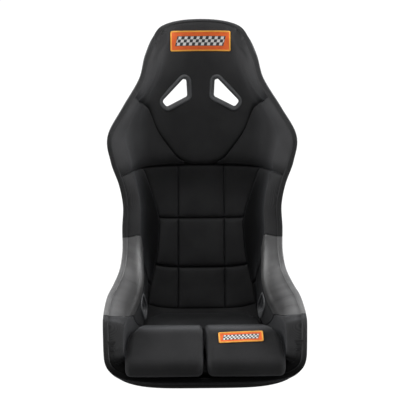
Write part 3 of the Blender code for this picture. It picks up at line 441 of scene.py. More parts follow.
def feed(tree: Tree, socket: Output, value: Socket) -> None:
    """Links a socket to another, or sets its value.

    Args:
        tree: Node tree that holds both.
        socket: Input socket.
        value: Output socket, number, colour or vector.
    """
    if isinstance(value, Output):
        tree.links.new(value, socket)
    elif isinstance(value, (int, float)):
        socket.default_value = value
    else:
        whole = tuple(value)
        socket.default_value = whole + (1.0,) * (len(socket.default_value) - len(whole))


class Nodes:
    """Short calls that add shader nodes to a tree."""

    def __init__(self, tree: Tree) -> None:
        """Keeps the tree that the nodes go to."""
        self.tree = tree

    def add(self, kind: str, inputs: Optional[dict[Union[str, int], Socket]] = None,
            **settings: Union[str, bool, float, Tree]) -> bpy.types.Node:
        """Adds one node.

        Args:
            kind: Blender's name of the node, without ShaderNode.
            inputs: Values or sockets for its inputs, by name or number.
            settings: Its other settings.

        Returns:
            The node.
        """
        node = self.tree.nodes.new("ShaderNode" + kind)
        for name, value in settings.items():
            setattr(node, name, value)
        for label, value in (inputs or {}).items():
            feed(self.tree, node.inputs[label], value)
        return node

    def math(self, operation: str, *values: Socket) -> Output:
        """Adds a Math node and returns its result."""
        return self.add("Math", dict(enumerate(values)), operation=operation).outputs[0]

    def linear(self, value: Socket, gain: Socket, shift: Socket) -> Output:
        """Adds Math nodes for value times gain plus shift and returns their result."""
        return self.math("ADD", self.math("MULTIPLY", value, gain), shift)

    def remap(self, value: Socket, span: Pair, to: Pair = (0.0, 1.0)) -> Output:
        """Adds a smooth Map Range node from one span to another and returns its result."""
        inputs = dict(zip(("From Min", "From Max", "To Min", "To Max"), span + to), Value=value)
        return self.add("MapRange", inputs, interpolation_type="SMOOTHSTEP").outputs["Result"]

    def split(self, vector: Socket) -> Sequence[Output]:
        """Adds a Separate XYZ node and returns its outputs."""
        return self.add("SeparateXYZ", {"Vector": vector}).outputs

    def noise(self, vector: Socket, scale: Socket, detail: float = 2.0) -> Output:
        """Adds a Noise Texture and returns its factor."""
        node = self.add("TexNoise", {"Vector": vector, "Scale": scale, "Detail": detail})
        return node.outputs["Fac"]

    def mix(self, factor: Socket, first: Socket, second: Socket) -> Output:
        """Adds a colour Mix node and returns its result."""
        inputs = {0: factor, 6: first, 7: second}
        return self.add("Mix", inputs, data_type="RGBA").outputs[2]


class EffectGroup:
    """A shader node group that several materials share."""

    KINDS = {"Vector": "NodeSocketVector", "Color": "NodeSocketColor"}

    def __init__(self, name: str, inputs: dict[str, Optional[float]], *outputs: str) -> None:
        """Makes the empty group.

        Args:
            name: Name of the group.
            inputs: Default value of each input by its label; vectors and colours have none.
            outputs: Labels of the outputs.
        """
        self.tree = bpy.data.node_groups.new(name, "ShaderNodeTree")
        for label, default in inputs.items():
            socket = self._socket(label, "INPUT")
            if default is not None:
                socket.default_value = default
        for label in outputs:
            self._socket(label, "OUTPUT")
        self.nodes = Nodes(self.tree)
        self.given = self.tree.nodes.new("NodeGroupInput").outputs
        self.result = self.tree.nodes.new("NodeGroupOutput").inputs

    def _socket(self, label: str, way: str) -> bpy.types.NodeTreeInterfaceSocket:
        """Adds an input or output, of the kind that goes with its label."""
        kind = self.KINDS.get(label, "NodeSocketFloat")
        return self.tree.interface.new_socket(label, in_out=way, socket_type=kind)

    def put(self, **values: Socket) -> Tree:
        """Feeds the group's outputs and returns its tree."""
        for label, value in values.items():
            feed(self.tree, self.result[label], value)
        return self.tree


# The mesh knit's hole and ribs, the vinyl's pebbles, and the swing of a tone
HOLE_EDGE, RIB_HEIGHT, FUZZ_SCALE, FUZZ_HEIGHT = (0.30, 0.85), 0.2, 2600.0, 0.3
PEBBLE_EDGE, BROAD_SCALE, BROAD_HEIGHT, FINE_DETAIL = (0.0, 0.28), 90.0, 0.6, 3.0
TONE_SPAN, TONE_DETAIL = (0.3, 0.7), 4.0


def knit_group() -> Tree:
    """Returns the open mesh knit: staggered holes between raised ribs."""
    group = EffectGroup("mesh_knit", {"Vector": None, "Pitch": 0.003}, "Height", "Hole")
    nodes, vector = group.nodes, group.given["Vector"]
    x_turns, y_turns = (nodes.math("DIVIDE", nodes.math("MULTIPLY", part, 2 * math.pi),
                                   group.given["Pitch"]) for part in nodes.split(vector)[:2])
    lattice = nodes.math("MULTIPLY", nodes.math("COSINE", x_turns), nodes.math("COSINE", y_turns))
    hole = nodes.remap(lattice, HOLE_EDGE)
    rib = nodes.math("COSINE", nodes.math("MULTIPLY", y_turns, 2.0))
    ribs = nodes.math("SUBTRACT", nodes.math("MULTIPLY", rib, RIB_HEIGHT), hole)
    fuzz = nodes.noise(vector, FUZZ_SCALE)
    return group.put(Height=nodes.linear(fuzz, FUZZ_HEIGHT, ribs), Hole=hole)


def grain_group() -> Tree:
    """Returns the pebbled grain of vinyl."""
    group = EffectGroup("vinyl_grain", {"Vector": None, "Size": 0.0012}, "Height", "Crease")
    nodes, vector = group.nodes, group.given["Vector"]
    cells = nodes.add("TexVoronoi", {"Vector": vector, "Scale": nodes.math(
        "DIVIDE", 1.0, group.given["Size"])}, feature="DISTANCE_TO_EDGE")
    pebble = nodes.remap(cells.outputs["Distance"], PEBBLE_EDGE)
    broad = nodes.noise(vector, BROAD_SCALE, FINE_DETAIL)
    return group.put(Height=nodes.linear(broad, BROAD_HEIGHT, pebble),
                     Crease=nodes.math("SUBTRACT", 1.0, pebble))


def tone_group() -> Tree:
    """Returns a gentle change of tone over a surface, for dye, handling and dust."""
    group = EffectGroup("tone", {"Color": None, "Vector": None, "Scale": 18.0, "Amount": 0.25},
                        "Color", "Fac")
    nodes, given = group.nodes, group.given
    fac = nodes.remap(nodes.noise(given["Vector"], given["Scale"], TONE_DETAIL), TONE_SPAN)
    gain = nodes.linear(nodes.math("SUBTRACT", fac, 0.5), given["Amount"], 1.0)
    scaled = nodes.add("VectorMath", {0: given["Color"], "Scale": gain}, operation="SCALE")
    return group.put(Color=scaled.outputs[0], Fac=fac)


# Colour that painted shade darkens towards
BLACK = (0.001, 0.001, 0.001)


@dataclass(frozen=True)
class Groups:
    """The shared effects."""

    knit: Tree
    grain: Tree
    tone: Tree


class Finish:
    """A material made from the finish's own values."""

    def __init__(self, name: str, groups: Groups) -> None:
        """Starts a material of that name with one Principled shader."""
        self.material = bpy.data.materials.new(name)
        self.material.use_nodes = True
        self.groups = groups
        self.nodes = Nodes(self.material.node_tree)
        self.shader = self.material.node_tree.nodes["Principled BSDF"]

    def object_place(self) -> Output:
        """Returns Object coordinates."""
        return self.nodes.add("TexCoord").outputs["Object"]

    def cover_place(self) -> Output:
        """Returns the piece's own metric UV map."""
        return self.nodes.add("UVMap", uv_map="cover").outputs["UV"]

    def add_painted_shade(self, colour: Socket, share: float) -> Output:
        """Darkens a colour by painted shade from the vertex attribute seam: along and beside sewn
        lines, on the seat's inner walls, low on the head cover and low on the edging.
        """
        near = self.nodes.add("Attribute", attribute_name="seam").outputs["Fac"]
        return self.nodes.mix(self.nodes.math("MULTIPLY", near, share), colour, BLACK)

    def tone(self, colour: Sequence[float], place: Socket, scale: float, amount: float) -> Outputs:
        """Places the gentle change of tone, at a scale and by an amount."""
        return self.group(self.groups.tone, Color=colour, Vector=place, Scale=scale, Amount=amount)

    def group(self, tree: Tree, **inputs: Socket) -> Outputs:
        """Places a shared effect and returns its outputs."""
        return self.nodes.add("Group", inputs, node_tree=tree).outputs

    def feed(self, **values: Socket) -> None:
        """Feeds inputs of the shader, with underscores for spaces in their names."""
        for name, value in values.items():
            feed(self.material.node_tree, self.shader.inputs[name.replace("_", " ")], value)

    def bump(self, height: Socket, distance: float, strength: float) -> None:
        """Raises the surface by a height from 0 to 1, which stands for a distance in metres."""
        inputs = {"Height": height, "Distance": distance, "Strength": strength}
        self.feed(Normal=self.nodes.add("Bump", inputs).outputs["Normal"])


@dataclass(frozen=True)
class Recipe:
    """What every finish has: its name and its colour."""

    name: str
    colour: Triple

    def make(self, groups: Groups) -> Material:
        """Returns the material."""
        finish = Finish(self.name, groups)
        self.dress(finish)
        return finish.material

    def dress(self, finish: Finish) -> None:
        """Sets up the surface of the material."""
        raise NotImplementedError


@dataclass(frozen=True)
class Knit(Recipe):
    """Black mesh knit of the covers."""

    pitch: float
    sheen: float = 0.14
    roughness: float = 0.92
    mottle: Pair = (11.0, 0.22)
    hole_tone: float = 0.30
    # Share of painted shade taken from the seam attribute
    shade: float = 0.92
    height: float = 0.35 * MM

    def dress(self, finish: Finish) -> None:
        """Sets up the surface of the material."""
        place = finish.cover_place()
        knit = finish.group(finish.groups.knit, Vector=place, Pitch=self.pitch)
        tone = finish.tone(self.colour, place, *self.mottle)
        dark = tuple(channel * self.hole_tone for channel in self.colour)
        cloth = finish.nodes.mix(knit["Hole"], tone["Color"], dark)
        finish.feed(Base_Color=finish.add_painted_shade(cloth, self.shade), Sheen_Weight=self.sheen,
                    Sheen_Roughness=0.45, Sheen_Tint=(0.9, 0.93, 1.0), Specular_IOR_Level=0.07,
                    Roughness=self.roughness)
        finish.bump(knit["Height"], self.height, strength=0.8)


@dataclass(frozen=True)
class Vinyl(Recipe):
    """Smooth black vinyl with a fine grain."""

    grain: float
    roughness: float = 0.26
    mottle: Pair = (22.0, 0.25)
    handled: float = 0.08
    creased: float = 0.10
    # Share of painted shade taken from the seam attribute
    shade: float = 0.92
    height: float = 0.10 * MM

    def dress(self, finish: Finish) -> None:
        """Sets up the surface of the material."""
        place = finish.cover_place()
        grain = finish.group(finish.groups.grain, Vector=place, Size=self.grain)
        tone = finish.tone(self.colour, place, *self.mottle)
        rough = finish.nodes.linear(tone["Fac"], self.handled, self.roughness)
        finish.feed(Base_Color=finish.add_painted_shade(tone["Color"], self.shade), Specular_IOR_Level=0.45,
                    Roughness=finish.nodes.linear(grain["Crease"], self.creased, rough))
        finish.bump(grain["Height"], self.height, strength=0.6)


@dataclass(frozen=True)
class Moulded(Recipe):
    """Moulded plastic or laminate with a fine texture, darkened towards the bottom by painted
    shade and rougher there.
    """

    roughness: float
    texture: float
    depth: float
    gloss: float = 0.5
    painted_shade_below: float = 0.0
    painted_shade_span: Pair = (0.03, 0.12)
    roughness_below: float = 0.5
    mottle: Pair = (9.0, 0.3)
    swing: float = 0.16

    def dress(self, finish: Finish) -> None:
        """Sets up the surface of the material."""
        nodes, place = finish.nodes, finish.object_place()
        tone = finish.tone(self.colour, place, *self.mottle)
        fine = nodes.noise(place, 1.0 / self.texture, FINE_DETAIL)
        # Painted shade: the colour goes towards black, and the surface gets rougher, towards the
        # bottom
        low = nodes.remap(nodes.split(place)["Z"], self.painted_shade_span, (self.painted_shade_below, 0.0))
        rough = nodes.linear(fine, self.swing, self.roughness - self.swing / 2)
        finish.feed(Base_Color=nodes.mix(low, tone["Color"], BLACK), Specular_IOR_Level=self.gloss,
                    Roughness=nodes.linear(low, self.roughness_below, rough))
        finish.bump(fine, self.depth, strength=0.7)


@dataclass(frozen=True)
class Plated(Recipe):
    """Bare or plated metal with turning marks."""

    roughness: float
    mottle: Pair = (160.0, 0.2)
    marks: float = 2200.0
    swing: float = 0.15
    smoothest: float = -0.05
    height: float = 0.03 * MM

    def dress(self, finish: Finish) -> None:
        """Sets up the surface of the material."""
        place = finish.object_place()
        fine = finish.nodes.noise(place, self.marks)
        rough = finish.nodes.linear(fine, self.swing, self.roughness + self.smoothest)
        finish.feed(Base_Color=finish.tone(self.colour, place, *self.mottle)["Color"],
                    Roughness=rough, Metallic=1.0)
        finish.bump(fine, self.height, strength=0.5)


@dataclass(frozen=True)
class Tufted(Recipe):
    """Foam, thread or hook strip: a matt surface full of small bumps."""

    size: float
    depth: float
    roughness: float = 0.95
    mottle: Pair = (30.0, 0.3)

    def dress(self, finish: Finish) -> None:
        """Sets up the surface of the material."""
        place = finish.object_place()
        cells = finish.nodes.add("TexVoronoi", {"Vector": place, "Scale": 1.0 / self.size})
        finish.feed(Base_Color=finish.tone(self.colour, place, *self.mottle)["Color"],
                    Specular_IOR_Level=0.2, Sheen_Weight=0.2, Roughness=self.roughness)
        finish.bump(cells.outputs["Distance"], self.depth, strength=0.8)


@dataclass(frozen=True)
class Woven(Recipe):
    """Embroidered patch: satin stitches of one colour, with a chequered band if asked."""

    thread: float
    band: Optional[Pair] = None
    roughness: float = 0.62
    mottle: Pair = (60.0, 0.16)
    height: float = 0.12 * MM
    slant: float = -0.25
    outline: float = 1.1 * MM
    outline_colour: Triple = (0.10, 0.09, 0.09)
    light: Triple = (0.95, 0.94, 0.92)
    dark: Triple = (0.05, 0.05, 0.055)

    def dress(self, finish: Finish) -> None:
        """Sets up the surface of the material."""
        nodes, place = finish.nodes, finish.cover_place()
        colour = finish.tone(self.colour, place, *self.mottle)["Color"]
        x, y = nodes.split(place)[:2]
        if self.band:
            colour = self._band(nodes, x, y, colour)
        turns = nodes.math("MULTIPLY", nodes.math("ADD", x, y), 2 * math.pi / self.thread)
        finish.feed(Base_Color=colour, Sheen_Weight=0.15, Specular_IOR_Level=0.35,
                    Roughness=self.roughness)
        finish.bump(nodes.math("SINE", turns), self.height, strength=0.6)

    def _band(self, nodes: Nodes, x: Socket, y: Socket, field: Socket) -> Socket:
        """Lays a slanted chequered band over the field.

        Args:
            nodes: The material's nodes.
            x: Metric places across the patch, from its middle.
            y: Metric places up the patch, from its middle.
            field: Colour of the field.

        Returns:
            The colour with the band.
        """
        square = self.band[1] * 2 / 3
        places = (nodes.linear(y, self.slant, x), y)
        cells = [nodes.math("FLOOR", nodes.math("DIVIDE", nodes.math("ADD", place, square / 2),
                                                square)) for place in places]
        chequer = nodes.math("MODULO", nodes.math("ABSOLUTE", nodes.math("ADD", *cells)), 2.0)
        pattern = nodes.mix(chequer, self.light, self.dark)
        for grow, colour in ((self.outline, self.outline_colour), (0.0, pattern)):
            inside = [nodes.math("LESS_THAN", nodes.math("ABSOLUTE", place), half + grow)
                      for place, half in zip(places, self.band)]
            field = nodes.mix(nodes.math("MULTIPLY", *inside), field, colour)
        return field


class Slot(Enum):
    """Material slots that the looks of the pieces name."""

    LAMINATE = "laminate"
    FABRIC = "fabric"
    VINYL = "vinyl"
    PLASTIC = "plastic"
    STEEL = "steel"
    PATCH = "patch"


class Palette:
    """Every finish on the seat, made once."""

    ORANGE = (1.0, 0.165, 0.026)

    def __init__(self) -> None:
        """Builds the shared effects and the materials."""
        groups = Groups(knit_group(), grain_group(), tone_group())
        self.knit = Knit("mesh_knit", (0.057, 0.057, 0.0585), 3.6 * MM).make(groups)
        self.quilt = Knit("quilt_knit", (0.064, 0.064, 0.066), 3.4 * MM, 0.08).make(groups)
        self.cushion = Knit("cushion_knit", (0.033, 0.033, 0.034), 3.6 * MM, 0.10).make(groups)
        self.edging = Knit("edge_knit", (0.046, 0.046, 0.047), 1.8 * MM).make(groups)
        self.vinyl = Vinyl("black_vinyl", (0.150, 0.150, 0.152), 1.3 * MM).make(groups)
        # The laminate is darkened towards the bottom by painted shade
        self.laminate = Moulded("black_laminate", (0.012, 0.012, 0.0125), 0.42, 1.6 * MM,
                                0.10 * MM, gloss=0.12, painted_shade_below=0.9).make(groups)
        self.plastic = Moulded("grey_plastic", (0.105, 0.108, 0.113), 0.52, 0.5 * MM,
                               0.05 * MM).make(groups)
        self.steel = Plated("zinc_steel", (0.62, 0.62, 0.60), 0.30).make(groups)
        self.foam = Tufted("grey_foam", (0.10, 0.10, 0.105), 1.1 * MM, 0.3 * MM).make(groups)
        self.hook = Tufted("hook_strip", (0.010, 0.010, 0.010), 1.0 * MM, 0.5 * MM).make(groups)
        self.thread = Tufted("black_thread", (0.050, 0.050, 0.052), 0.6 * MM,
                             0.05 * MM).make(groups)
        self.field = Woven("patch_field", self.ORANGE, 0.8 * MM, (66 * MM, 12.6 * MM)).make(groups)
        self.small_field = Woven("small_patch_field", self.ORANGE, 0.8 * MM,
                                 (46 * MM, 7.2 * MM)).make(groups)
        self.border = Woven("patch_border", (1.0, 0.47, 0.065), 1.0 * MM).make(groups)


# ---- making pieces

def graded(length: float, step: float, fine: float = 0.45 * MM, growth: float = 1.7) -> Array:
    """Returns places from 0 to 1 that crowd towards both ends.

    Args:
        length: Real length in metres.
        step: Largest spacing.
        fine: Spacing at the ends.
        growth: How fast the spacing grows.

    Returns:
        The places.
    """
    near, size = [0.0], fine
    while size < step and near[-1] + size < 0.45 * length:
        near.append(near[-1] + size)
        size *= growth
    ends = np.array(near)
    count = max(int((length - 2 * ends[-1]) / step), 1)
    middle = np.linspace(ends[-1], length - ends[-1], count + 1)[1:-1]
    return np.concatenate([ends, middle, length - ends[::-1]]) / length


class Lattice:
    """A grid of faces whose vertices are moved to computed places."""

    def __init__(self, rows: Array, columns: Array, doubled: bool = False) -> None:
        """Makes the flat grid.

        Args:
            rows: Value a of each row.
            columns: Value b of each column.
            doubled: Whether a second sheet lies over the first, joined at the border.
        """
        rows, columns = np.asarray(rows, float), np.asarray(columns, float)
        self.bm = bmesh.new()
        bmesh.ops.create_grid(self.bm, x_segments=len(columns) - 1, y_segments=len(rows) - 1,
                              size=0.5)
        top = set()
        if doubled:
            made = bmesh.ops.extrude_face_region(self.bm, geom=self.bm.faces[:])
            top = {item for item in made["geom"] if isinstance(item, bmesh.types.BMVert)}
        self.bm.verts.index_update()
        flat = np.array([vert.co[:] for vert in self.bm.verts])
        self.a = rows[np.rint((flat[:, 1] + 0.5) * (len(rows) - 1)).astype(int)]
        self.b = columns[np.rint((flat[:, 0] + 0.5) * (len(columns) - 1)).astype(int)]
        self.is_top = np.array([vert in top for vert in self.bm.verts])

    def move(self, points: Array, uv: Optional[Array] = None,
             seam: Optional[Array] = None) -> Mesh:
        """Moves the vertices.

        Args:
            points: New places, one for each vertex.
            uv: Places on the cloth in metres, one for each vertex.
            seam: Painted shade of each vertex, from 0 to 1: along sewn lines, on inner walls, on
                the head cover and low on edgings.

        Returns:
            The mesh.
        """
        for vert, point in zip(self.bm.verts, points):
            vert.co = point
        # Stores the painted shade as the vertex attribute seam
        if seam is not None:
            near = self.bm.verts.layers.float.new("seam")
            for vert, value in zip(self.bm.verts, seam):
                vert[near] = value
        if uv is not None:
            layer = self.bm.loops.layers.uv.new("cover")
            for face in self.bm.faces:
                for loop in face.loops:
                    loop[layer].uv = uv[loop.vert.index]
        return self.bm


@dataclass(frozen=True)
class Look:
    """What a finished piece needs besides its shape."""

    material: Material
    slot: Slot
    body: str = SEAT_BODY
    fill: Optional[float] = None
    sharp: float = 40.0


def wrapped(around: int, rounds: int) -> tuple[Lattice, Array, Array]:
    """Returns a lattice that closes on itself both ways, and its vertices' whole places."""
    lattice = Lattice(np.arange(around + 1), np.arange(rounds + 1))
    return lattice, lattice.a.astype(int) % around, lattice.b.astype(int) % rounds


def weld(bm: Mesh, near: float = 1e-6) -> Mesh:
    """Joins the vertices that lie on one another and returns the mesh."""
    bmesh.ops.remove_doubles(bm, verts=bm.verts, dist=near)
    return bm


def new_object(name: str, bm: Mesh) -> Piece:
    """Puts a bmesh, which is used up, into the scene as an object."""
    mesh = bpy.data.meshes.new(name)
    bm.to_mesh(mesh)
    bm.free()
    item = bpy.data.objects.new(name, mesh)
    bpy.context.scene.collection.objects.link(item)
    return item


def finish_piece(name: str, bm: Mesh, look: Look, replaces: Sequence[str] = ()) -> Piece:
    """Turns a bmesh into a piece of the seat.

    Args:
        name: Name of the piece.
        bm: Its closed mesh, in place.
        look: Its finish and body.
        replaces: CAD nodes that it stands for.

    Returns:
        The piece.
    """
    bmesh.ops.recalc_face_normals(bm, faces=bm.faces)
    if bm.calc_volume(signed=True) < 0:
        bmesh.ops.reverse_faces(bm, faces=bm.faces)
    item = new_object(name, bm)
    item.data.shade_smooth()
    item.data.set_sharp_from_angle(angle=math.radians(look.sharp))
    item.data.materials.append(look.material)
    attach(item, look.body)
    if replaces:
        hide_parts(*replaces)
    LOG.info("%s: %d faces", name, len(item.data.polygons))
    return item


def carve(item: Piece, bm: Mesh) -> None:
    """Cuts the hole of a closed mesh, which is used up, into a piece."""
    bmesh.ops.recalc_face_normals(bm, faces=bm.faces)
    cutter = new_object("cutter", bm)
    modifier = item.modifiers.new("cut", "BOOLEAN")
    modifier.operation = "DIFFERENCE"
    modifier.solver = "EXACT"
    modifier.object = cutter
    bpy.context.view_layer.update()
    graph = bpy.context.evaluated_depsgraph_get()
    old, item.data = item.data, bpy.data.meshes.new_from_object(item.evaluated_get(graph))
    item.modifiers.remove(modifier)
    item.data.name = item.name
    hole = cutter.data
    bpy.data.objects.remove(cutter)
    for mesh in (old, hole):
        bpy.data.meshes.remove(mesh)


class Caliper:
    """Measures nodes and pieces with straight lines."""

    def __init__(self, *nodes: Piece) -> None:
        """Builds the ray-casting tree of the nodes."""
        bm = bmesh.new()
        for node in nodes:
            bm.from_mesh(node.data)
        self.tree = BVHTree.FromBMesh(bm)
        bm.free()

    def hit(self, start: Sequence[float], way: Sequence[float]) -> Optional[Vector]:
        """Returns the first point that a ray meets."""
        return self.tree.ray_cast(Vector(start), Vector(way))[0]

    def bottom(self, x: float, y: float) -> Optional[float]:
        """Returns the height of the lower face."""
        hit = self.hit((x, y, -0.5), (0, 0, 1))
        return None if hit is None else hit.z

    def side(self, y: float, z: float, way: int) -> Optional[float]:
        """Returns the x of the face on one side."""
        hit = self.hit((way * 0.6, y, z), (-way, 0, 0))
        return None if hit is None else hit.x


def corner_points(item: Piece) -> Array:
    """Returns the vertices of a node."""
    return np.array([vert.co[:] for vert in item.data.vertices])


def in_mm(points: Sequence[Pair], start: Pair = (0.0, 0.0)) -> Profile:
    """Returns a profile that is given in millimetres from a starting point, in metres."""
    return [(start[0] + u * MM, start[1] + v * MM) for u, v in points]


def rectangle(x: float, y: float) -> list[Vector]:
    """Returns the corners of a rectangle from its half sizes, counter-clockwise."""
    return [Vector(corner) for corner in ((-x, -y), (x, -y), (x, y), (-x, y))]


# ---- covers

@dataclass(frozen=True)
class Sewn:
    """How a cover meets a sewn side.

    It sinks by drop over the distance roll, swells by lift over the distance swell, and is
    darkened by painted shade, at the share dark over the distance shade.
    """

    drop: float
    roll: float
    lift: float = 0.0
    swell: float = 15 * MM
    shade: float = 0.0
    dark: float = 0.0

    def depth(self, distance: Array) -> Array:
        """Returns the change of depth at distances from the side."""
        return (self.lift * np.exp(-distance / self.swell)
                - self.drop * quarter_round(distance, self.roll))


# SHADED, SUNK and TUCKED add painted shade beside their seams
PLAIN = Sewn(6.0 * MM, 9.0 * MM)
PROUD = Sewn(4.0 * MM, 5.0 * MM, 3.0 * MM)
BROAD = Sewn(7.0 * MM, 14.0 * MM)
SHADED = Sewn(6.0 * MM, 9.0 * MM, shade=95 * MM, dark=0.66)
SUNK = Sewn(12.0 * MM, 42.0 * MM, shade=13 * MM, dark=0.8)
TUCKED = Sewn(11.0 * MM, 34.0 * MM, shade=30 * MM, dark=0.68)
Sides = tuple[Optional[Sewn], Optional[Sewn], Optional[Sewn], Optional[Sewn]]


@dataclass
class CoverPanels:
    """The padded covers that are bonded to the shell.

    Painted shade darkens the inner walls of the seat with the distance from the rim: the torso
    between two spans along and over one distance, the wings in front of them over another, and
    the vinyl over a third, less so further up.
    """

    surface: SeatSurface
    palette: Palette
    seam_gap: float = 0.35 * MM
    ripple: float = 0.35 * MM
    step: float = 5.5 * MM
    thinnest: float = 2 * MM
    piping_from_rim: float = 12.0 * MM
    piping_groove: float = 0.9 * MM
    piping_width: float = 1.3 * MM
    # Width of the painted shade along sewn lines; strength, spans and reaches of the painted shade
    # on the inner walls and on the head cover
    seam_shade: float = 2.4 * MM
    hollow_shade: float = 0.84
    wing_share: float = 1.12
    wing_end: Pair = (0.08, 0.30)
    torso_end: Pair = (0.86, 0.97)
    torso_reach: Pair = (8 * MM, 42 * MM)
    wing_reach: Pair = (-10 * MM, 34 * MM)
    vinyl_reach: Pair = (-2 * MM, 15 * MM)
    vinyl_fade: float = 0.40
    vinyl_end: Pair = (0.38, 0.54)
    head_shade: float = 0.30
    head_end: Pair = (0.90, 1.22)

    def seam(self, points: Sequence[Pair], sign: int) -> Line:
        """Returns a line across, just beside a seam that is given along the seat."""
        base = line(points)
        return lambda at: base(at) + sign * self.seam_gap / self.surface.half_length(at)

    def ripples(self, along: Array, across: Array) -> Array:
        """Returns the small unevenness of foam and cloth, in metres."""
        x = across * self.surface.half_length(along)
        waves = ((41.0, 17.0, 0.4), (-23.0, 52.0, 1.9), (67.0, -38.0, 3.1), (12.0, 88.0, 5.2))
        total = sum(np.sin(u * x + v * along + phase) for u, v, phase in waves)
        return self.ripple * total / len(waves)

    def painted_hollow_shade(self, along: Array, across: Array, slot: Slot) -> Array:
        """Returns the painted shade on the seat's inner walls, from 0 to 1, stronger further from
        the rim.
        """
        edge = self.surface.edge_distance(Edge.SIDE, along, across)
        if slot is Slot.VINYL:
            share = self.hollow_shade - self.vinyl_fade * ease(along, *self.vinyl_end)
            return share * ease(edge, *self.vinyl_reach)
        behind = ease(along, *self.wing_end)
        torso = behind * (1 - ease(along, *self.torso_end)) * ease(edge, *self.torso_reach)
        wings = self.wing_share * (1 - behind) * ease(edge, *self.wing_reach)
        return self.hollow_shade * (torso + wings)

    def panel(self, name: str, region: Region, seams: Sides, look: Look,
              replaces: Sequence[str], relief: Optional[Field] = None,
              sewn_lines: Optional[Field] = None, rows: Optional[Array] = None,
              columns: Optional[Array] = None) -> Piece:
        """Makes one cover as a closed pad.

        Args:
            name: Name of the piece.
            region: Where it lies.
            seams: How the low a, high a, low b and high b sides are sewn.
            look: Its finish.
            replaces: CAD nodes that it stands for.
            relief: Extra depth for places (a, b), such as quilting.
            sewn_lines: Distance to the nearest line sewn inside the cover, for places (a, b),
                which gets painted shade.
            rows: Values of a, or None to work them out.
            columns: Values of b, or None to work them out.

        Returns:
            The piece.
        """
        height, width = region.size()
        rows = graded(height, self.step) if rows is None else rows
        columns = graded(width, self.step) if columns is None else columns
        lattice = Lattice(rows, columns, doubled=True)
        a, b = lattice.a, lattice.b
        along, across = region.place(a, b)
        depth = self.surface.pad_depth(along, across) + self.ripples(along, across)
        # The shade array is painted shade, stored as the vertex attribute seam: a dark line along
        # sewn lines, broader shade beside some seams, on inner walls and on the head cover
        nearest, shade = np.ones(len(a)), np.zeros(len(a))
        for sewn, distance in zip(seams, region.distances(a, b)):
            if sewn:
                depth += sewn.depth(distance)
                nearest = np.minimum(nearest, distance)
                if sewn.shade:
                    shade = np.maximum(shade, sewn.dark * np.exp(-(distance / sewn.shade) ** 2))
        if relief:
            depth += relief(a, b)
        if sewn_lines:
            nearest = np.minimum(nearest, sewn_lines(a, b))
        shade = np.maximum(shade, np.exp(-(nearest / self.seam_shade) ** 2))
        if region.side_wall:
            shade = np.maximum(shade, self.painted_hollow_shade(along, across, look.slot))
        # Painted shade on the lower part of the head cover
        elif name == "head_cover":
            shade = np.maximum(shade, self.head_shade * (1 - ease(along, *self.head_end)))
        floor = WALL + BOND_GAP / 2
        depth = np.where(lattice.is_top, np.maximum(depth, floor + self.thinnest), floor)
        uv = np.stack([across * self.surface.half_length(along), along], axis=1)
        bm = lattice.move(self.surface.skin(along, across, depth), uv, shade)
        return finish_piece(name, bm, look, replaces)

    def piping(self, region: Region) -> Field:
        """Returns the fine sunk line that runs beside the rim of a vinyl cover."""
        def relief(a: Array, b: Array) -> Array:
            """Returns the depth of the line at places (a, b)."""
            away = self.surface.rim_distance(*region.place(a, b)) - self.piping_from_rim
            return -self.piping_groove * np.exp(-(away / self.piping_width) ** 2)
        return relief

    def build(self) -> dict[str, Piece]:
        """Makes every cover.

        Returns:
            The pieces by the name of the CAD node that they replace.
        """
        surface, gap = self.surface, self.seam_gap
        rim, front, head = (surface.edge_line(edge, EDGE_INSET) for edge in Edge)
        knit = Look(self.palette.knit, Slot.FABRIC, fill=0.9)
        dark = Look(self.palette.quilt, Slot.FABRIC, fill=0.9)
        vinyl = Look(self.palette.vinyl, Slot.VINYL, fill=0.9)
        beside, middle = self.seam(CUSHION_EDGE, 1), self.seam(CUSHION_EDGE, -1)
        wear, chest = self.seam(WEAR_SEAM, 1), line(CHEST_SEAM, -gap)
        foot, top = line(WEAR_FOOT, gap), line(WEAR_HEAD, -gap)
        made = {}

        def add(node: str, region: Region, seams: Sides, look: Look) -> None:
            """Makes the cover of one node."""
            made[node] = self.panel(node.replace("panel", "cover"), region, seams, look, (node,),
                                    self.piping(region) if look is vinyl else None)

        add("head_panel", Region(surface, line(HEAD_SEAM, gap), head, lambda a: -rim(a), rim),
            (SUNK, None, None, None), knit)
        for name, side in SIDES:
            yoke = Region(surface, line(CHEST_SEAM, gap), line(HEAD_SEAM, -gap),
                          lambda a: SHOULDER_TIP * rim(a), rim, side)
            add("shoulder_panel_" + name, yoke, (TUCKED, PROUD, PROUD, None), knit)
            for label, lines, seams, look in (
                    ("side_bolster", (line(WEAR_HEAD, gap), chest, beside, rim),
                     (PLAIN, BROAD, PLAIN, None), knit),
                    ("wear_panel", (foot, top, wear, rim), (PLAIN, PROUD, PROUD, None), vinyl),
                    ("hip_panel", (foot, top, beside, self.seam(WEAR_SEAM, -1)),
                     (PLAIN, PLAIN, PLAIN, PLAIN), dark),
                    ("thigh_bolster", (front, line(WEAR_FOOT, -gap), beside, rim),
                     (None, PLAIN, PLAIN, None), knit)):
                add(f"{label}_{name}", Region(surface, *lines, side, side_wall=True), seams, look)
        add("pan_liner", Region(surface, front, level(CUSHION_FOOT - gap), lambda a: -middle(a),
                                middle), (None, None, None, None), dark)
        return made


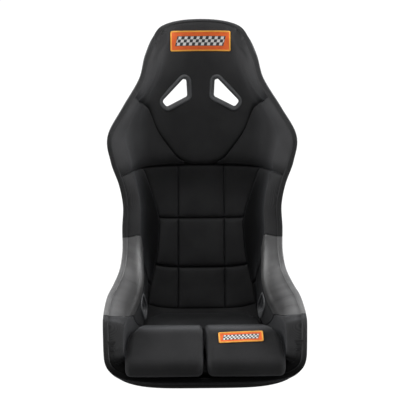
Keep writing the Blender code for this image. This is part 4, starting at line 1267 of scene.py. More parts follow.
@dataclass
class BackCushion:
    """The quilted cushion of three by three blocks that is sewn into the back."""

    covers: CoverPanels
    crown: float = 6.0 * MM
    crown_round: float = 16 * MM
    settled: float = 0.6
    groove: float = 11.0 * MM
    groove_width: float = 9.5 * MM
    column_share: Pair = (0.8, 0.65)
    row_grooves: tuple[float, ...] = (0.308, 0.648)

    def crowded(self, length: float, grooves: Sequence[float]) -> Array:
        """Returns places from 0 to 1 that crowd at the ends and at the grooves."""
        marks = (0.0, *grooves, 1.0)
        parts = [low + (high - low) * graded((high - low) * length, self.covers.step)
                 for low, high in zip(marks, marks[1:])]
        return np.concatenate([parts[0]] + [part[1:] for part in parts[1:]])

    def build(self) -> Piece:
        """Makes the cushion.

        Returns:
            The piece.
        """
        covers = self.covers
        inner = covers.seam(CUSHION_EDGE, -1)
        region = QuiltRegion(covers.surface, level(CUSHION_FOOT + covers.seam_gap),
                             level(CUSHION_HEAD - covers.seam_gap), lambda a: -inner(a), inner)
        height, width = region.size()

        def grooves(a: Array, b: Array) -> tuple[Array, Array]:
            """Returns the distances to the nearest row groove and column groove."""
            along, across = region.place(a, b)
            rows = np.min([np.abs(a - mark) * height for mark in self.row_grooves], axis=0)
            from_middle = np.abs(across) * covers.surface.half_length(along)
            return rows, np.abs(from_middle - region.column)

        def relief(a: Array, b: Array) -> Array:
            """Returns the blocks' crown less their grooves."""
            rows, columns = grooves(a, b)
            edge = np.minimum.reduce([*region.distances(a, b), rows, columns])
            swell = self.crown * (1 - np.exp(-edge / self.crown_round) - self.settled)
            shallower, narrower = self.column_share
            cut = np.maximum(quarter_round(rows, self.groove_width), shallower
                             * quarter_round(columns, self.groove_width * narrower))
            return swell - self.groove * cut

        # The top side (SHADED) and the grooves get painted shade
        return covers.panel("back_cushion", region, (PLAIN, SHADED, PLAIN, PLAIN),
                            Look(covers.palette.quilt, Slot.FABRIC, fill=0.85),
                            ("back_cushion_cover", "back_cushion_foam"), relief,
                            lambda a, b: np.minimum(*grooves(a, b)),
                            self.crowded(height, self.row_grooves),
                            self.crowded(width, region.marks))


# ---- shell and edges

@dataclass
class Shell:
    """The moulded shell and the soft edging on its rim."""

    surface: SeatSurface
    palette: Palette
    step: float = 9 * MM
    spacing: float = 4 * MM
    joint: float = 0.15 * MM
    # Heights over which the painted shade on the edging fades, darkest at the bottom
    lip_shade: Pair = (0.055, 0.125)
    corner_steps: tuple[int, int] = (24, 10)
    rim_points: tuple[int, int, int] = (59, 400, 39)
    columns: tuple[int, int] = (24, 12)
    dense_from: float = 0.80
    steady: Pair = (0.80, 0.50)
    edging_section: tuple[Pair, ...] = (
        (8.0, 5.2), (1.2, 5.2), (1.2, 9.6), (0.5, 10.3), (-0.8, 10.6), (-2.1, 10.2), (-3.1, 9.2),
        (-3.8, 7.6), (-4.0, 5.0), (-4.0, 0.0), (-3.8, -1.9), (-3.1, -3.1), (-2.0, -3.7),
        (0.0, -3.8), (6.5, -3.8), (9.2, -3.5), (10.1, -2.5), (10.1, -0.5), (-0.5, -0.5),
        (-0.5, 4.5), (8.0, 4.5))

    def rows(self, steps: int, count: Optional[int] = None) -> Array:
        """Returns places along, with a number of steps in each rounded corner of the outline."""
        turn = np.linspace(0.0, math.pi / 2, steps)
        low = FRONT_CORNER * (1 - np.cos(turn))
        high = self.surface.length - HEAD_CORNER * (1 - np.cos(turn[::-1]))
        count = count or int((high[0] - low[-1]) / self.step)
        return np.concatenate([low, np.linspace(low[-1], high[0], count)[1:-1], high])

    def rim_path(self) -> tuple[Array, Array]:
        """Returns places along and across once round the rim, from the front to the right."""
        before, beside, after = self.rim_points
        side = self.rows(self.corner_steps[0], beside)
        reach = self.surface.rim_across(side)
        front = np.linspace(0.0, reach[0], before + 1)[:-1]
        head = np.linspace(reach[-1], 0.0, after + 1)[1:]
        along = np.concatenate([np.zeros(before), side, np.full(after, self.surface.length)])
        across = np.concatenate([front, reach, head])
        return np.append(along, along[-2::-1]), np.append(across, -across[-2::-1])

    def edging(self, name: str, along: Array, across: Array, look: Look) -> None:
        """Makes a soft edging that wraps over a stretch of the rim.

        Args:
            name: Name of the stretch.
            along: Places along.
            across: Places across.
            look: Its finish.
        """
        origin = self.surface.outer(along, across)
        normal = self.surface.inward(along, across)
        into = unit(np.cross(normal, unit(np.gradient(origin, axis=0))))
        section = np.array(self.edging_section) * MM
        lattice = Lattice(np.arange(len(along)), np.arange(len(section) + 1))
        i, k = lattice.a.astype(int), lattice.b.astype(int)
        flat = section[k % len(section)]
        points = origin[i] + into[i] * flat[:, :1] + normal[i] * flat[:, 1:]
        girth = running(np.vstack([section, section[:1]]))
        uv = np.stack([running(origin)[i], girth[k]], axis=1)
        # The seam attribute here holds painted shade, darkest low on the edging
        bm = weld(lattice.move(points, uv, 1 - ease(points[:, 2], *self.lip_shade)))
        ends = [edge for edge in bm.edges if len(edge.link_faces) == 1]
        bmesh.ops.holes_fill(bm, edges=ends, sides=0)
        finish_piece("rim_edging_" + name, bm, look, ("rim_trim_" + name,))

    def edgings(self) -> None:
        """Makes the four lengths of edging."""
        path = self.rim_path()
        run = running(self.surface.outer(*path))
        right = slice(self.rim_points[0], len(run) // 2)
        low, high = np.interp((WEAR_FRONT, WEAR_TOP), path[0][right], run[right])
        knit = Look(self.palette.edging, Slot.FABRIC)
        vinyl = Look(self.palette.vinyl, Slot.VINYL)
        for name, start, end, look in (
                ("front", -low, low, knit), ("back", high, run[-1] - high, knit),
                ("hip_right", low, high, vinyl),
                ("hip_left", run[-1] - high, run[-1] - low, vinyl)):
            count = int((end - start) / self.spacing)
            places = np.linspace(start + self.joint, end - self.joint, count) % run[-1]
            self.edging(name, *(np.interp(places, run, values) for values in path), look)

    def shell(self) -> Piece:
        """Makes the shell.

        Returns:
            The piece.
        """
        half = np.append(np.linspace(0.0, self.dense_from, self.columns[0]),
                         np.linspace(self.dense_from, 1.0, self.columns[1])[1:])
        columns = np.append(-half[:0:-1], half)
        lattice = Lattice(self.rows(self.corner_steps[1]), columns, doubled=True)
        steady = np.where(lattice.a < self.surface.length / 2, *self.steady)
        size, reach = np.abs(lattice.b), self.surface.rim_across(lattice.a)
        out = steady + (size - steady) / (1 - steady) * (reach - steady)
        across = np.where(size <= steady, size, out) * np.sign(lattice.b)
        points = self.surface.skin(lattice.a, across, np.where(lattice.is_top, WALL, 0.0))
        return finish_piece("moulded_shell", lattice.move(points),
                            Look(self.palette.laminate, Slot.LAMINATE), ("shell",))


# ---- stitches

@dataclass
class Stitching:
    """Rows of thread stitches beside the seams of the covers."""

    surface: SeatSurface
    palette: Palette
    pitch: float = 5.6 * MM
    length: float = 3.9 * MM
    width: float = 0.75 * MM
    beside: float = 5.5 * MM
    reach: float = 100 * MM
    yoke: tuple[float, float, int] = (SHOULDER_TIP + 0.05, 0.97, 260)
    end: tuple[float, float, int] = (0.86, 0.97, 120)
    side: tuple[float, float, int] = (0.27, 0.63, 300)

    def row(self, name: str, cover: Piece, along: Array, across: Array) -> None:
        """Sews one row of stitches into a cover.

        Args:
            name: Name of the piece.
            cover: Cover that the thread lies on.
            along: Places of the row along.
            across: Places of the row across.
        """
        tree = Caliper(cover).tree
        starts = self.surface.skin(along, across, np.full(len(along), self.reach))
        ways = -self.surface.inward(along, across)
        hits = [tree.ray_cast(Vector(start), Vector(way), self.reach)[:2]
                for start, way in zip(starts, ways)]
        path, normals = (np.array([hit[k][:] for hit in hits if hit[0] is not None])
                         for k in (0, 1))
        run = running(path)
        thread = bmesh.new()
        half, thick = self.length / 2, self.width / 2
        for place in np.arange(self.pitch / 2, run[-1], self.pitch):
            start, end = read_path(path, run, np.array([place - half, place + half]))
            lay = Vector(end - start).normalized()
            normal = Vector(read_path(normals, run, place)).normalized()
            beside = normal.cross(lay).normalized()
            turn = Matrix((lay * half, beside * thick, lay.cross(beside) * thick))
            middle = Matrix.Translation(Vector((start + end) / 2))
            bmesh.ops.create_uvsphere(thread, u_segments=6, v_segments=4, radius=1.0,
                                      matrix=middle @ turn.transposed().to_4x4())
        finish_piece(name, thread, Look(self.palette.thread, Slot.FABRIC))

    def build(self, covers: dict[str, Piece]) -> None:
        """Sews every row.

        Args:
            covers: The covers by the name of their CAD node.
        """
        off = self.beside
        yoke, end, along = (np.linspace(*run) for run in (self.yoke, self.end, self.side))
        side_line = line(WEAR_SEAM)(along) + off / self.surface.half_length(along)
        rows = (("yoke", "shoulder_panel", line(HEAD_SEAM, -off)(yoke), yoke),
                ("chest", "shoulder_panel", line(CHEST_SEAM, off)(yoke), yoke),
                ("wear_head", "wear_panel", line(WEAR_HEAD, -off)(end), end),
                ("wear_foot", "wear_panel", line(WEAR_FOOT, off)(end), end),
                ("thigh", "thigh_bolster", line(WEAR_FOOT, -off)(end), end),
                ("wear_side", "wear_panel", along, side_line))
        for name, side in SIDES:
            for label, node, places, across in rows:
                self.row(f"stitches_{label}_{name}", covers[f"{node}_{name}"], places,
                         side * across)


# ---- belt openings

@dataclass(frozen=True)
class OpeningFrame:
    """Flat frame of a belt opening."""

    origin: Array
    x: Array
    y: Array
    axis: Array

    @staticmethod
    def through(points: Array, towards: Array) -> "OpeningFrame":
        """Lays a frame through four corners.

        Args:
            points: The corners.
            towards: Direction that the axis points to.

        Returns:
            The frame.
        """
        axis = unit(np.cross(points[2] - points[0], points[3] - points[1]))
        if axis @ towards < 0:
            axis = -axis
        y = unit(np.cross(axis, points[1] - points[0]))
        return OpeningFrame(points.mean(axis=0), np.cross(y, axis), y, axis)

    @staticmethod
    def level(y: float) -> "OpeningFrame":
        """Lays a level frame on the middle of the floor."""
        return OpeningFrame(np.array([0.0, y, 0.0]), *np.eye(3))

    def mirrored(self, side: int) -> "OpeningFrame":
        """Returns the frame for one side, from that of the right-hand side."""
        flip = np.array([side, 1.0, 1.0])
        return OpeningFrame(*(part * flip for part in (self.origin, self.x, self.y, self.axis)))

    def flat(self, points: Array) -> list[Vector]:
        """Returns flat coordinates, counter-clockwise."""
        away = points - self.origin
        flat = [Vector((float(p @ self.x), float(p @ self.y))) for p in away]
        area = sum(p.x * q.y - q.x * p.y for p, q in zip(flat, flat[1:] + flat[:1]))
        return flat if area > 0 else flat[::-1]

    def lift(self, flat: Array, height: Array) -> Array:
        """Returns the points at heights over flat coordinates."""
        return (self.origin + flat[:, :1] * self.x + flat[:, 1:2] * self.y
                + np.asarray(height)[:, None] * self.axis)


def rounded(corners: Sequence[Vector], radius: float, grow: float, steps: int = 8) -> Array:
    """Rounds the corners of a convex polygon.

    Args:
        corners: Its corners, counter-clockwise.
        radius: Radius of the corners before growing.
        grow: How far the outline is moved outwards.
        steps: Steps round each corner.

    Returns:
        The outline's flat points.
    """
    points = []
    for i, corner in enumerate(corners):
        before = (corner - corners[i - 1]).normalized()
        after = (corners[(i + 1) % len(corners)] - corner).normalized()
        first, last = Vector((before.y, -before.x)), Vector((after.y, -after.x))
        centre = corner - (first + last) / (1 + first.dot(last)) * radius
        for k in range(steps + 1):
            points.append(centre + first.slerp(last, k / steps) * (radius + grow))
    return np.array([point[:] for point in points])


def ring(frame: OpeningFrame, corners: Sequence[Vector], radius: float,
         profile: Sequence[Pair]) -> Mesh:
    """Makes a closed ring round an opening.

    Args:
        frame: Frame of the opening.
        corners: Flat corners of the opening.
        radius: Radius of its corners.
        profile: (grow, height) points round the section.

    Returns:
        The mesh.
    """
    outlines = np.array([rounded(corners, radius, grow) for grow, _ in profile])
    heights = np.array([height for _, height in profile])
    lattice, i, k = wrapped(outlines.shape[1], len(profile))
    return weld(lattice.move(frame.lift(outlines[k, i], heights[k])))


def prism(frame: OpeningFrame, corners: Sequence[Vector], radius: float, grow: float,
          low: float, high: float) -> Mesh:
    """Makes a straight closed prism of an opening's outline.

    Args:
        frame: Frame of the opening.
        corners: Flat corners of the opening.
        radius: Radius of its corners.
        grow: How far the outline is moved outwards.
        low: Height of its foot.
        high: Height of its head.

    Returns:
        The mesh.
    """
    outline = rounded(corners, radius, grow)
    bm = bmesh.new()
    verts = [bm.verts.new(point) for point in frame.lift(outline, np.full(len(outline), low))]
    face = bm.faces.new(verts)
    made = bmesh.ops.extrude_face_region(bm, geom=[face], use_keep_orig=True)
    tops = [item for item in made["geom"] if isinstance(item, bmesh.types.BMVert)]
    bmesh.ops.translate(bm, verts=tops, vec=Vector(frame.axis * (high - low)))
    return bm


def standing(place: Sequence[float], axis: Sequence[float]) -> Matrix:
    """Returns the matrix that stands a piece on a place, with its Z along an axis."""
    turn = Vector(axis).to_track_quat("Z", "Y").to_matrix().to_4x4()
    return Matrix.Translation(Vector(place)) @ turn


def lathe(profile: Sequence[Pair], centre: Sequence[float], axis: Sequence[float],
          steps: int = 40) -> Mesh:
    """Turns a solid about an axis.

    Args:
        profile: (radius, height) points from one end of the axis to the other, or round a ring.
        centre: Point on the axis at height 0.
        axis: Direction of the axis.
        steps: Steps round.

    Returns:
        The mesh.
    """
    bm = bmesh.new()
    verts = [bm.verts.new((radius, 0.0, height)) for radius, height in profile]
    edges = [bm.edges.new(pair) for pair in zip(verts, verts[1:])]
    if all(radius > 0 for radius, _ in profile):
        edges.append(bm.edges.new((verts[-1], verts[0])))
    bmesh.ops.spin(bm, geom=verts + edges, cent=(0, 0, 0), axis=(0, 0, 1),
                   angle=2 * math.pi, steps=steps, use_merge=True)
    bmesh.ops.transform(weld(bm), matrix=standing(centre, axis), verts=bm.verts)
    return bm


@dataclass(frozen=True)
class OpeningPlan:
    """Where one kind of belt opening lies, on the right-hand side."""

    label: str
    places: tuple[Pair, ...]
    radius: float
    screws: int


PLANS = (
    OpeningPlan("shoulder", ((1.178, 0.142), (1.121, 0.110), (1.096, 0.285), (1.114, 0.337)),
                7 * MM, 3),
    OpeningPlan("lap", ((0.412, 0.62), (0.412, 0.80), (0.452, 0.80), (0.452, 0.62)), 12 * MM, 2),
)


# Sections of the bezel, of both edges of the backing ring and of the screw, in millimetres
BEZEL_FACE = ((0.0, -7.0), (0.0, -6.0), (0.5, -4.6), (1.8, -3.6), (3.4, -3.0), (4.2, -2.0),
              (4.5, 0.6), (5.0, 1.8), (6.2, 2.7), (8.2, 3.0), (10.4, 2.6), (12.2, 1.3),
              (13.0, -0.8), (13.0, -7.0), (7.2, -7.0))
BACKING_INNER = ((0.0, 1.2), (0.36, 0.36), (1.2, 0.0))
BACKING_OUTER = ((-3.0, 0.0), (-1.2, 0.4), (0.0, 1.6))
SCREW_HEAD = ((0.0, 0.0), (1.4, 0.05), (2.4, 0.35), (3.0, 0.9), (3.2, 1.5), (3.2, 1.95),
              (1.5, 1.95))


@dataclass
class BeltOpenings:
    """The bezels, backing rings and screws of the belt openings."""

    surface: SeatSurface
    palette: Palette
    nodes: dict[str, Piece]
    wall: float = 7.2 * MM
    flange: float = 13.0 * MM
    backing: float = 17.0 * MM
    flare: float = 5.0 * MM
    covered: float = 1.5 * MM
    play: float = 0.5 * MM
    cut: Pair = (-0.12, 0.06)
    shank: float = 1.5 * MM
    socket: float = 1.15 * MM
    socket_depth: float = 2.4 * MM

    def span(self, node: str, frame: OpeningFrame) -> Pair:
        """Returns the lowest and highest height of a CAD node over a frame."""
        heights = (corner_points(self.nodes[node]) - frame.origin) @ frame.axis
        return float(heights.min()), float(heights.max())

    def build(self, plan: OpeningPlan, name: str, side: int, cover: Piece, shell: Piece) -> None:
        """Makes the pieces of one opening and cuts its way through cover and shell.

        Args:
            plan: Kind of opening.
            name: Name of the side.
            side: -1 for left or 1 for right.
            cover: Cover that it passes through.
            shell: The shell.
        """
        along, across = (np.array(values) for values in zip(*plan.places))
        points = self.surface.skin(along, across, self.surface.pad_depth(along, across))
        right = OpeningFrame.through(points, self.surface.inward(along[:1], across[:1])[0])
        corners, frame = right.flat(points), right.mirrored(side)
        belt = plan.label + "_belt"
        low, _ = self.span(f"{belt}_bezel_{name}", frame)
        floor, roof = self.span(f"{belt}_backing_{name}", frame)
        bezel = [(self.flare, low), *in_mm(BEZEL_FACE), (self.wall, low)]
        backing = [*in_mm(BACKING_INNER, (self.flare, floor)),
                   *in_mm(BACKING_OUTER, (self.backing, floor)),
                   (self.backing, roof), (self.flare, roof)]
        for kind, profile in (("bezel", bezel), ("backing", backing)):
            finish_piece(f"{plan.label}_{kind}_{name}",
                         ring(frame, corners, plan.radius, profile),
                         Look(self.palette.plastic, Slot.PLASTIC, sharp=50.0),
                         (f"{belt}_{kind}_{name}",))
        for item, grow in ((cover, self.flange - self.covered), (shell, self.wall + self.play)):
            carve(item, prism(frame, corners, plan.radius, grow, *self.cut))
        for number in range(1, plan.screws + 1):
            self.screw(f"{plan.label}_screw_{name}_{number}", f"{belt}_screw_{name}_{number}",
                       frame)

    def screw(self, name: str, node: str, frame: OpeningFrame) -> None:
        """Makes a pan-head screw with a hexagon socket where its CAD node is.

        Args:
            name: Name of the piece.
            node: Its CAD node.
            frame: Frame of its opening.
        """
        points = corner_points(self.nodes[node])
        middle = (points.min(axis=0) + points.max(axis=0)) / 2 - frame.origin
        foot, top = self.span(node, frame)
        base = frame.lift(np.array([[middle @ frame.x, middle @ frame.y]]), np.array([foot]))[0]
        profile = in_mm(SCREW_HEAD) + [(self.shank, top - foot), (0.0, top - foot)]
        item = finish_piece(name, lathe(profile, base, frame.axis, 24),
                            Look(self.palette.steel, Slot.STEEL, sharp=35.0), (node,))
        socket = bmesh.new()
        bmesh.ops.create_cone(socket, cap_ends=True, segments=6, radius1=self.socket,
                              radius2=self.socket, depth=self.socket_depth,
                              matrix=standing(base, frame.axis))
        carve(item, socket)


# The strap opening in the pan: half its sizes, its place on the middle line and its corners
CROTCH_HALF, CROTCH_CENTRE, CROTCH_RADIUS = (36 * MM, 12 * MM), -0.120, 11 * MM
CROTCH_FACE = ((0.0, -2.2), (0.4, -1.2), (1.2, -0.4), (2.4, 0.0), (8.8, 0.0), (10.2, -0.4),
               (11.0, -1.6))


def crotch_hole(grow: float, low: float, high: float) -> Mesh:
    """Returns the prism of the strap opening in the pan, grown outwards, between two heights."""
    return prism(OpeningFrame.level(CROTCH_CENTRE), rectangle(*CROTCH_HALF), CROTCH_RADIUS, grow,
                 low, high)


@dataclass
class CrotchBezel:
    """The one-piece bezel of the strap opening in the pan."""

    palette: Palette
    outer: float = 11.0 * MM
    wall: float = 5.0 * MM
    shelf: float = WALL + 2.6 * MM

    def build(self, shell: Piece, liner: Piece) -> None:
        """Makes the bezel and cuts its way through the shell and the pan's cover."""
        low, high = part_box("crotch_belt_bezel")
        profile = [(0.0, low.z), *in_mm(CROTCH_FACE, (0.0, high.z)), (self.outer, self.shelf),
                   (self.wall, self.shelf), (self.wall, low.z)]
        finish_piece("crotch_bezel", ring(OpeningFrame.level(CROTCH_CENTRE),
                                          rectangle(*CROTCH_HALF), CROTCH_RADIUS, profile),
                     Look(self.palette.plastic, Slot.PLASTIC, sharp=50.0), ("crotch_belt_bezel",))
        carve(shell, crotch_hole(self.wall + 0.6 * MM, -0.02, 0.08))
        carve(liner, crotch_hole(self.outer - 0.6 * MM, -0.02, 0.08))


# ---- lift-out cushions

@dataclass
class SeatCushion:
    """The lift-out seat cushion, stepped down in front for the leg pads.

    Its width and its foot are measured on the CAD cushion, its top rises from one height to
    another over a soft step.
    """

    palette: Palette
    nodes: dict[str, Piece]
    roll: float = 15 * MM
    crown: float = 4 * MM
    crown_round: float = 40 * MM
    corner: float = 34 * MM
    corner_share: float = 0.35
    step: float = 6 * MM
    levels: tuple[float, ...] = (0.040, 0.050, 0.060)
    narrowest: float = 0.1
    wider: float = 1.0 * MM
    gap: float = 0.5 * MM
    front_top: float = 0.0485
    rise_place: float = -0.018
    rise_width: float = 5 * MM
    foot_inset: Pair = (0.97, 3 * MM)
    foot_height: float = 0.012
    thinnest: float = 4 * MM
    hole_grow: float = 15 * MM

    def half_widths(self, caliper: Caliper, ys: Array) -> Array:
        """Returns the smoothed half widths of the CAD cushion."""
        widths = []
        for y in ys:
            hits = [caliper.side(y, z, way) for z in self.levels for way in (1, -1)]
            widths.append(max([abs(hit) for hit in hits if hit is not None] or [self.narrowest]))
        return np.convolve(np.pad(widths, 2, mode="edge"), np.full(5, 0.2), mode="valid")

    def foot(self, caliper: Caliper, x: Array, y: Array) -> Array:
        """Returns the heights of the cushion's underside."""
        share, inset = self.foot_inset
        low, high = y.min() + inset, y.max() - inset
        found = [caliper.bottom(px * share, min(max(py, low), high)) for px, py in zip(x, y)]
        return np.array([self.foot_height if z is None else z for z in found]) + self.gap

    def build(self) -> None:
        """Makes the cushion."""
        replaced = ("seat_cushion_cover", "seat_cushion_foam")
        caliper = Caliper(*(self.nodes[node] for node in replaced))
        low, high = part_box("seat_cushion_cover")
        ys = np.linspace(low.y + self.gap, high.y - self.gap, 40)
        widths = self.half_widths(caliper, ys)
        rows = graded(high.y - low.y, self.step)
        columns = 2 * graded(2 * float(widths.max()), self.step) - 1
        lattice = Lattice(low.y + (high.y - low.y) * rows, columns, doubled=True)
        y = lattice.a
        near = np.minimum(y - low.y, high.y - y)
        past = np.clip(self.corner - near, 0, None)
        pull = self.corner - np.sqrt(np.maximum(self.corner**2 - past**2, 0))
        half = np.interp(y, ys, widths) + self.wider - pull * self.corner_share
        x = half * lattice.b
        edge = np.minimum(near, half - np.abs(x))
        step = 0.5 + 0.5 * np.tanh((y - self.rise_place) / self.rise_width)
        top = self.front_top + (high.z - self.front_top) * step
        top -= self.roll * quarter_round(edge, self.roll)
        top += self.crown * (1 - np.exp(-edge / self.crown_round)) - self.gap
        foot = self.foot(caliper, x, y)
        z = np.where(lattice.is_top, np.maximum(top, foot + self.thinnest), foot)
        points = np.stack([x, y, z], axis=1)
        item = finish_piece("seat_cushion_pad", lattice.move(points, points[:, :2]),
                            Look(self.palette.cushion, Slot.FABRIC, "seat_cushion", 0.85),
                            replaced)
        carve(item, crotch_hole(self.hole_grow, -0.02, 0.12))


@dataclass
class LegPads:
    """The two leg pads on the front of the seat cushion.

    One section is drawn from the inner to the outer side of each CAD pad, with rounded ends. Its
    front reaches out further than the CAD pad, up to the wings beside it.
    """

    palette: Palette
    nodes: dict[str, Piece]
    walls: Caliper
    step: float = 6 * MM
    finest: float = 0.6 * MM
    cap_steps: int = 6
    end_roll: float = 13 * MM
    least_reach: float = 26 * MM
    swell: float = 0.012
    dome: float = 3.0 * MM
    crest: float = -0.205
    nose: float = -0.318
    reach: float = 208 * MM
    tuck: float = 20 * MM
    tuck_power: float = 2.5
    turn_out: float = 0.25
    inner_gap: float = 0.3 * MM
    wall_gap: float = 1.5 * MM
    measured_y: Pair = (-0.305, -0.036)
    measured_z: float = 0.066
    centre: Pair = (-0.190, 0.084)
    smoothings: int = 3
    profile: tuple[Pair, ...] = (
        (-0.0245, 0.0660), (-0.0230, 0.0800), (-0.0330, 0.0930), (-0.0700, 0.1055),
        (-0.1200, 0.1220), (-0.1700, 0.1382), (-0.2010, 0.1468), (-0.2220, 0.1474),
        (-0.2420, 0.1352), (-0.2640, 0.1232), (-0.2920, 0.1092), (-0.3110, 0.0990),
        (-0.3200, 0.0880), (-0.3210, 0.0720), (-0.3190, 0.0590), (-0.3080, 0.0522),
        (-0.2900, 0.0517), (-0.2300, 0.0517), (-0.1700, 0.0517), (-0.1100, 0.0517),
        (-0.0550, 0.0517), (-0.0320, 0.0545))

    def loop(self, count: int = 90) -> Array:
        """Returns the rounded section as (y, z) points, evenly spaced."""
        points = np.array(self.profile + self.profile[:1])
        for _ in range(self.smoothings):
            cut = [points[:-1] * (1 - share) + points[1:] * share for share in (0.25, 0.75)]
            smooth = np.stack(cut, axis=1).reshape(-1, 2)
            points = np.vstack([smooth, smooth[:1]])
        run = running(points)
        return read_path(points, run, np.linspace(0.0, run[-1], count + 1))

    def sides(self, node: str, side: int) -> tuple[Array, Array, Array]:
        """Measures a CAD pad.

        Args:
            node: The pad's cover.
            side: -1 for left or 1 for right.

        Returns:
            Places y, and the inner and outer distances from the middle there.
        """
        caliper = Caliper(self.nodes[node])
        ys = np.linspace(*self.measured_y, 30)
        inner = [caliper.hit((0.0, y, self.measured_z), (side, 0, 0)) for y in ys]
        outer = [caliper.side(y, self.measured_z, side) for y in ys]
        gaps = np.array([abs(hit.x) if hit else np.nan for hit in inner])
        reach = np.array([abs(x) if x else np.nan for x in outer])
        good = ~np.isnan(gaps) & ~np.isnan(reach)
        trend = np.polyfit(ys[good], reach[good], 3)
        return ys, np.interp(ys, ys[good], gaps[good]), np.polyval(trend, ys)

    def held_in(self, points: Array, side: int) -> Array:
        """Keeps points clear of the bolsters beside the pads."""
        for point in points:
            hit = self.walls.hit((0.0, point[1], point[2]), (side, 0, 0))
            if hit is not None:
                point[0] = side * min(abs(point[0]), abs(hit.x) - self.wall_gap)
        return points

    def pad(self, name: str, side: int) -> Piece:
        """Makes one pad.

        Args:
            name: Name of the side.
            side: -1 for left or 1 for right.

        Returns:
            The piece.
        """
        loop, centre = self.loop(), np.array(self.centre)
        ys, inner, outer = self.sides("leg_pad_cover_" + name, side)
        width = float(outer.mean() - inner.mean())
        cap = np.linspace(0.0, 1.0, self.cap_steps + 1)[:-1]
        body = graded(width, self.step, self.finest)
        lattice = Lattice(np.arange(len(loop)), np.concatenate([cap - 1, body, 2 - cap[::-1]]))
        b, section = lattice.b, lattice.a.astype(int)
        yz, t = loop[section], np.clip(b, 0.0, 1.0)
        cap = np.where(b < 0, 1 + b, np.where(b > 1, 2 - b, 1.0))
        shrink = self.end_roll * quarter_round(np.minimum(t, 1 - t) * width, self.end_roll)
        scale = 1 - shrink[:, None] / np.maximum(np.abs(yz - centre), self.least_reach)
        swell = 1 + self.swell * np.sin(math.pi * t)[:, None]
        placed = centre + (yz - centre) * np.clip(scale, 0.0, 1.0) * swell * cap[:, None]
        dome = self.dome * (1 - cap**2)
        x_in = np.interp(yz[:, 0], ys, inner) + self.inner_gap - np.where(b < 0, dome, 0)
        face = np.clip((yz[:, 0] - self.crest) / (self.nose - self.crest), 0.0, 1.0)
        x_out = np.interp(yz[:, 0], ys, outer)
        reach = self.reach - self.tuck * (1 - face) ** self.tuck_power
        x_out += (reach - x_out) * ease(face, 0.0, self.turn_out)
        x = x_in + (x_out - x_in) * t + np.where(b > 1, dome, 0) / 2
        points = self.held_in(np.stack([side * x, placed[:, 0], placed[:, 1]], axis=1), side)
        bm = weld(lattice.move(points, np.stack([x, running(loop)[section]], axis=1)))
        look = Look(self.palette.cushion, Slot.FABRIC, "leg_pad_" + name, 0.85)
        return finish_piece(f"leg_pad_{name}_pad", bm, look,
                            ("leg_pad_cover_" + name, "leg_pad_foam_" + name))


# ---- patches

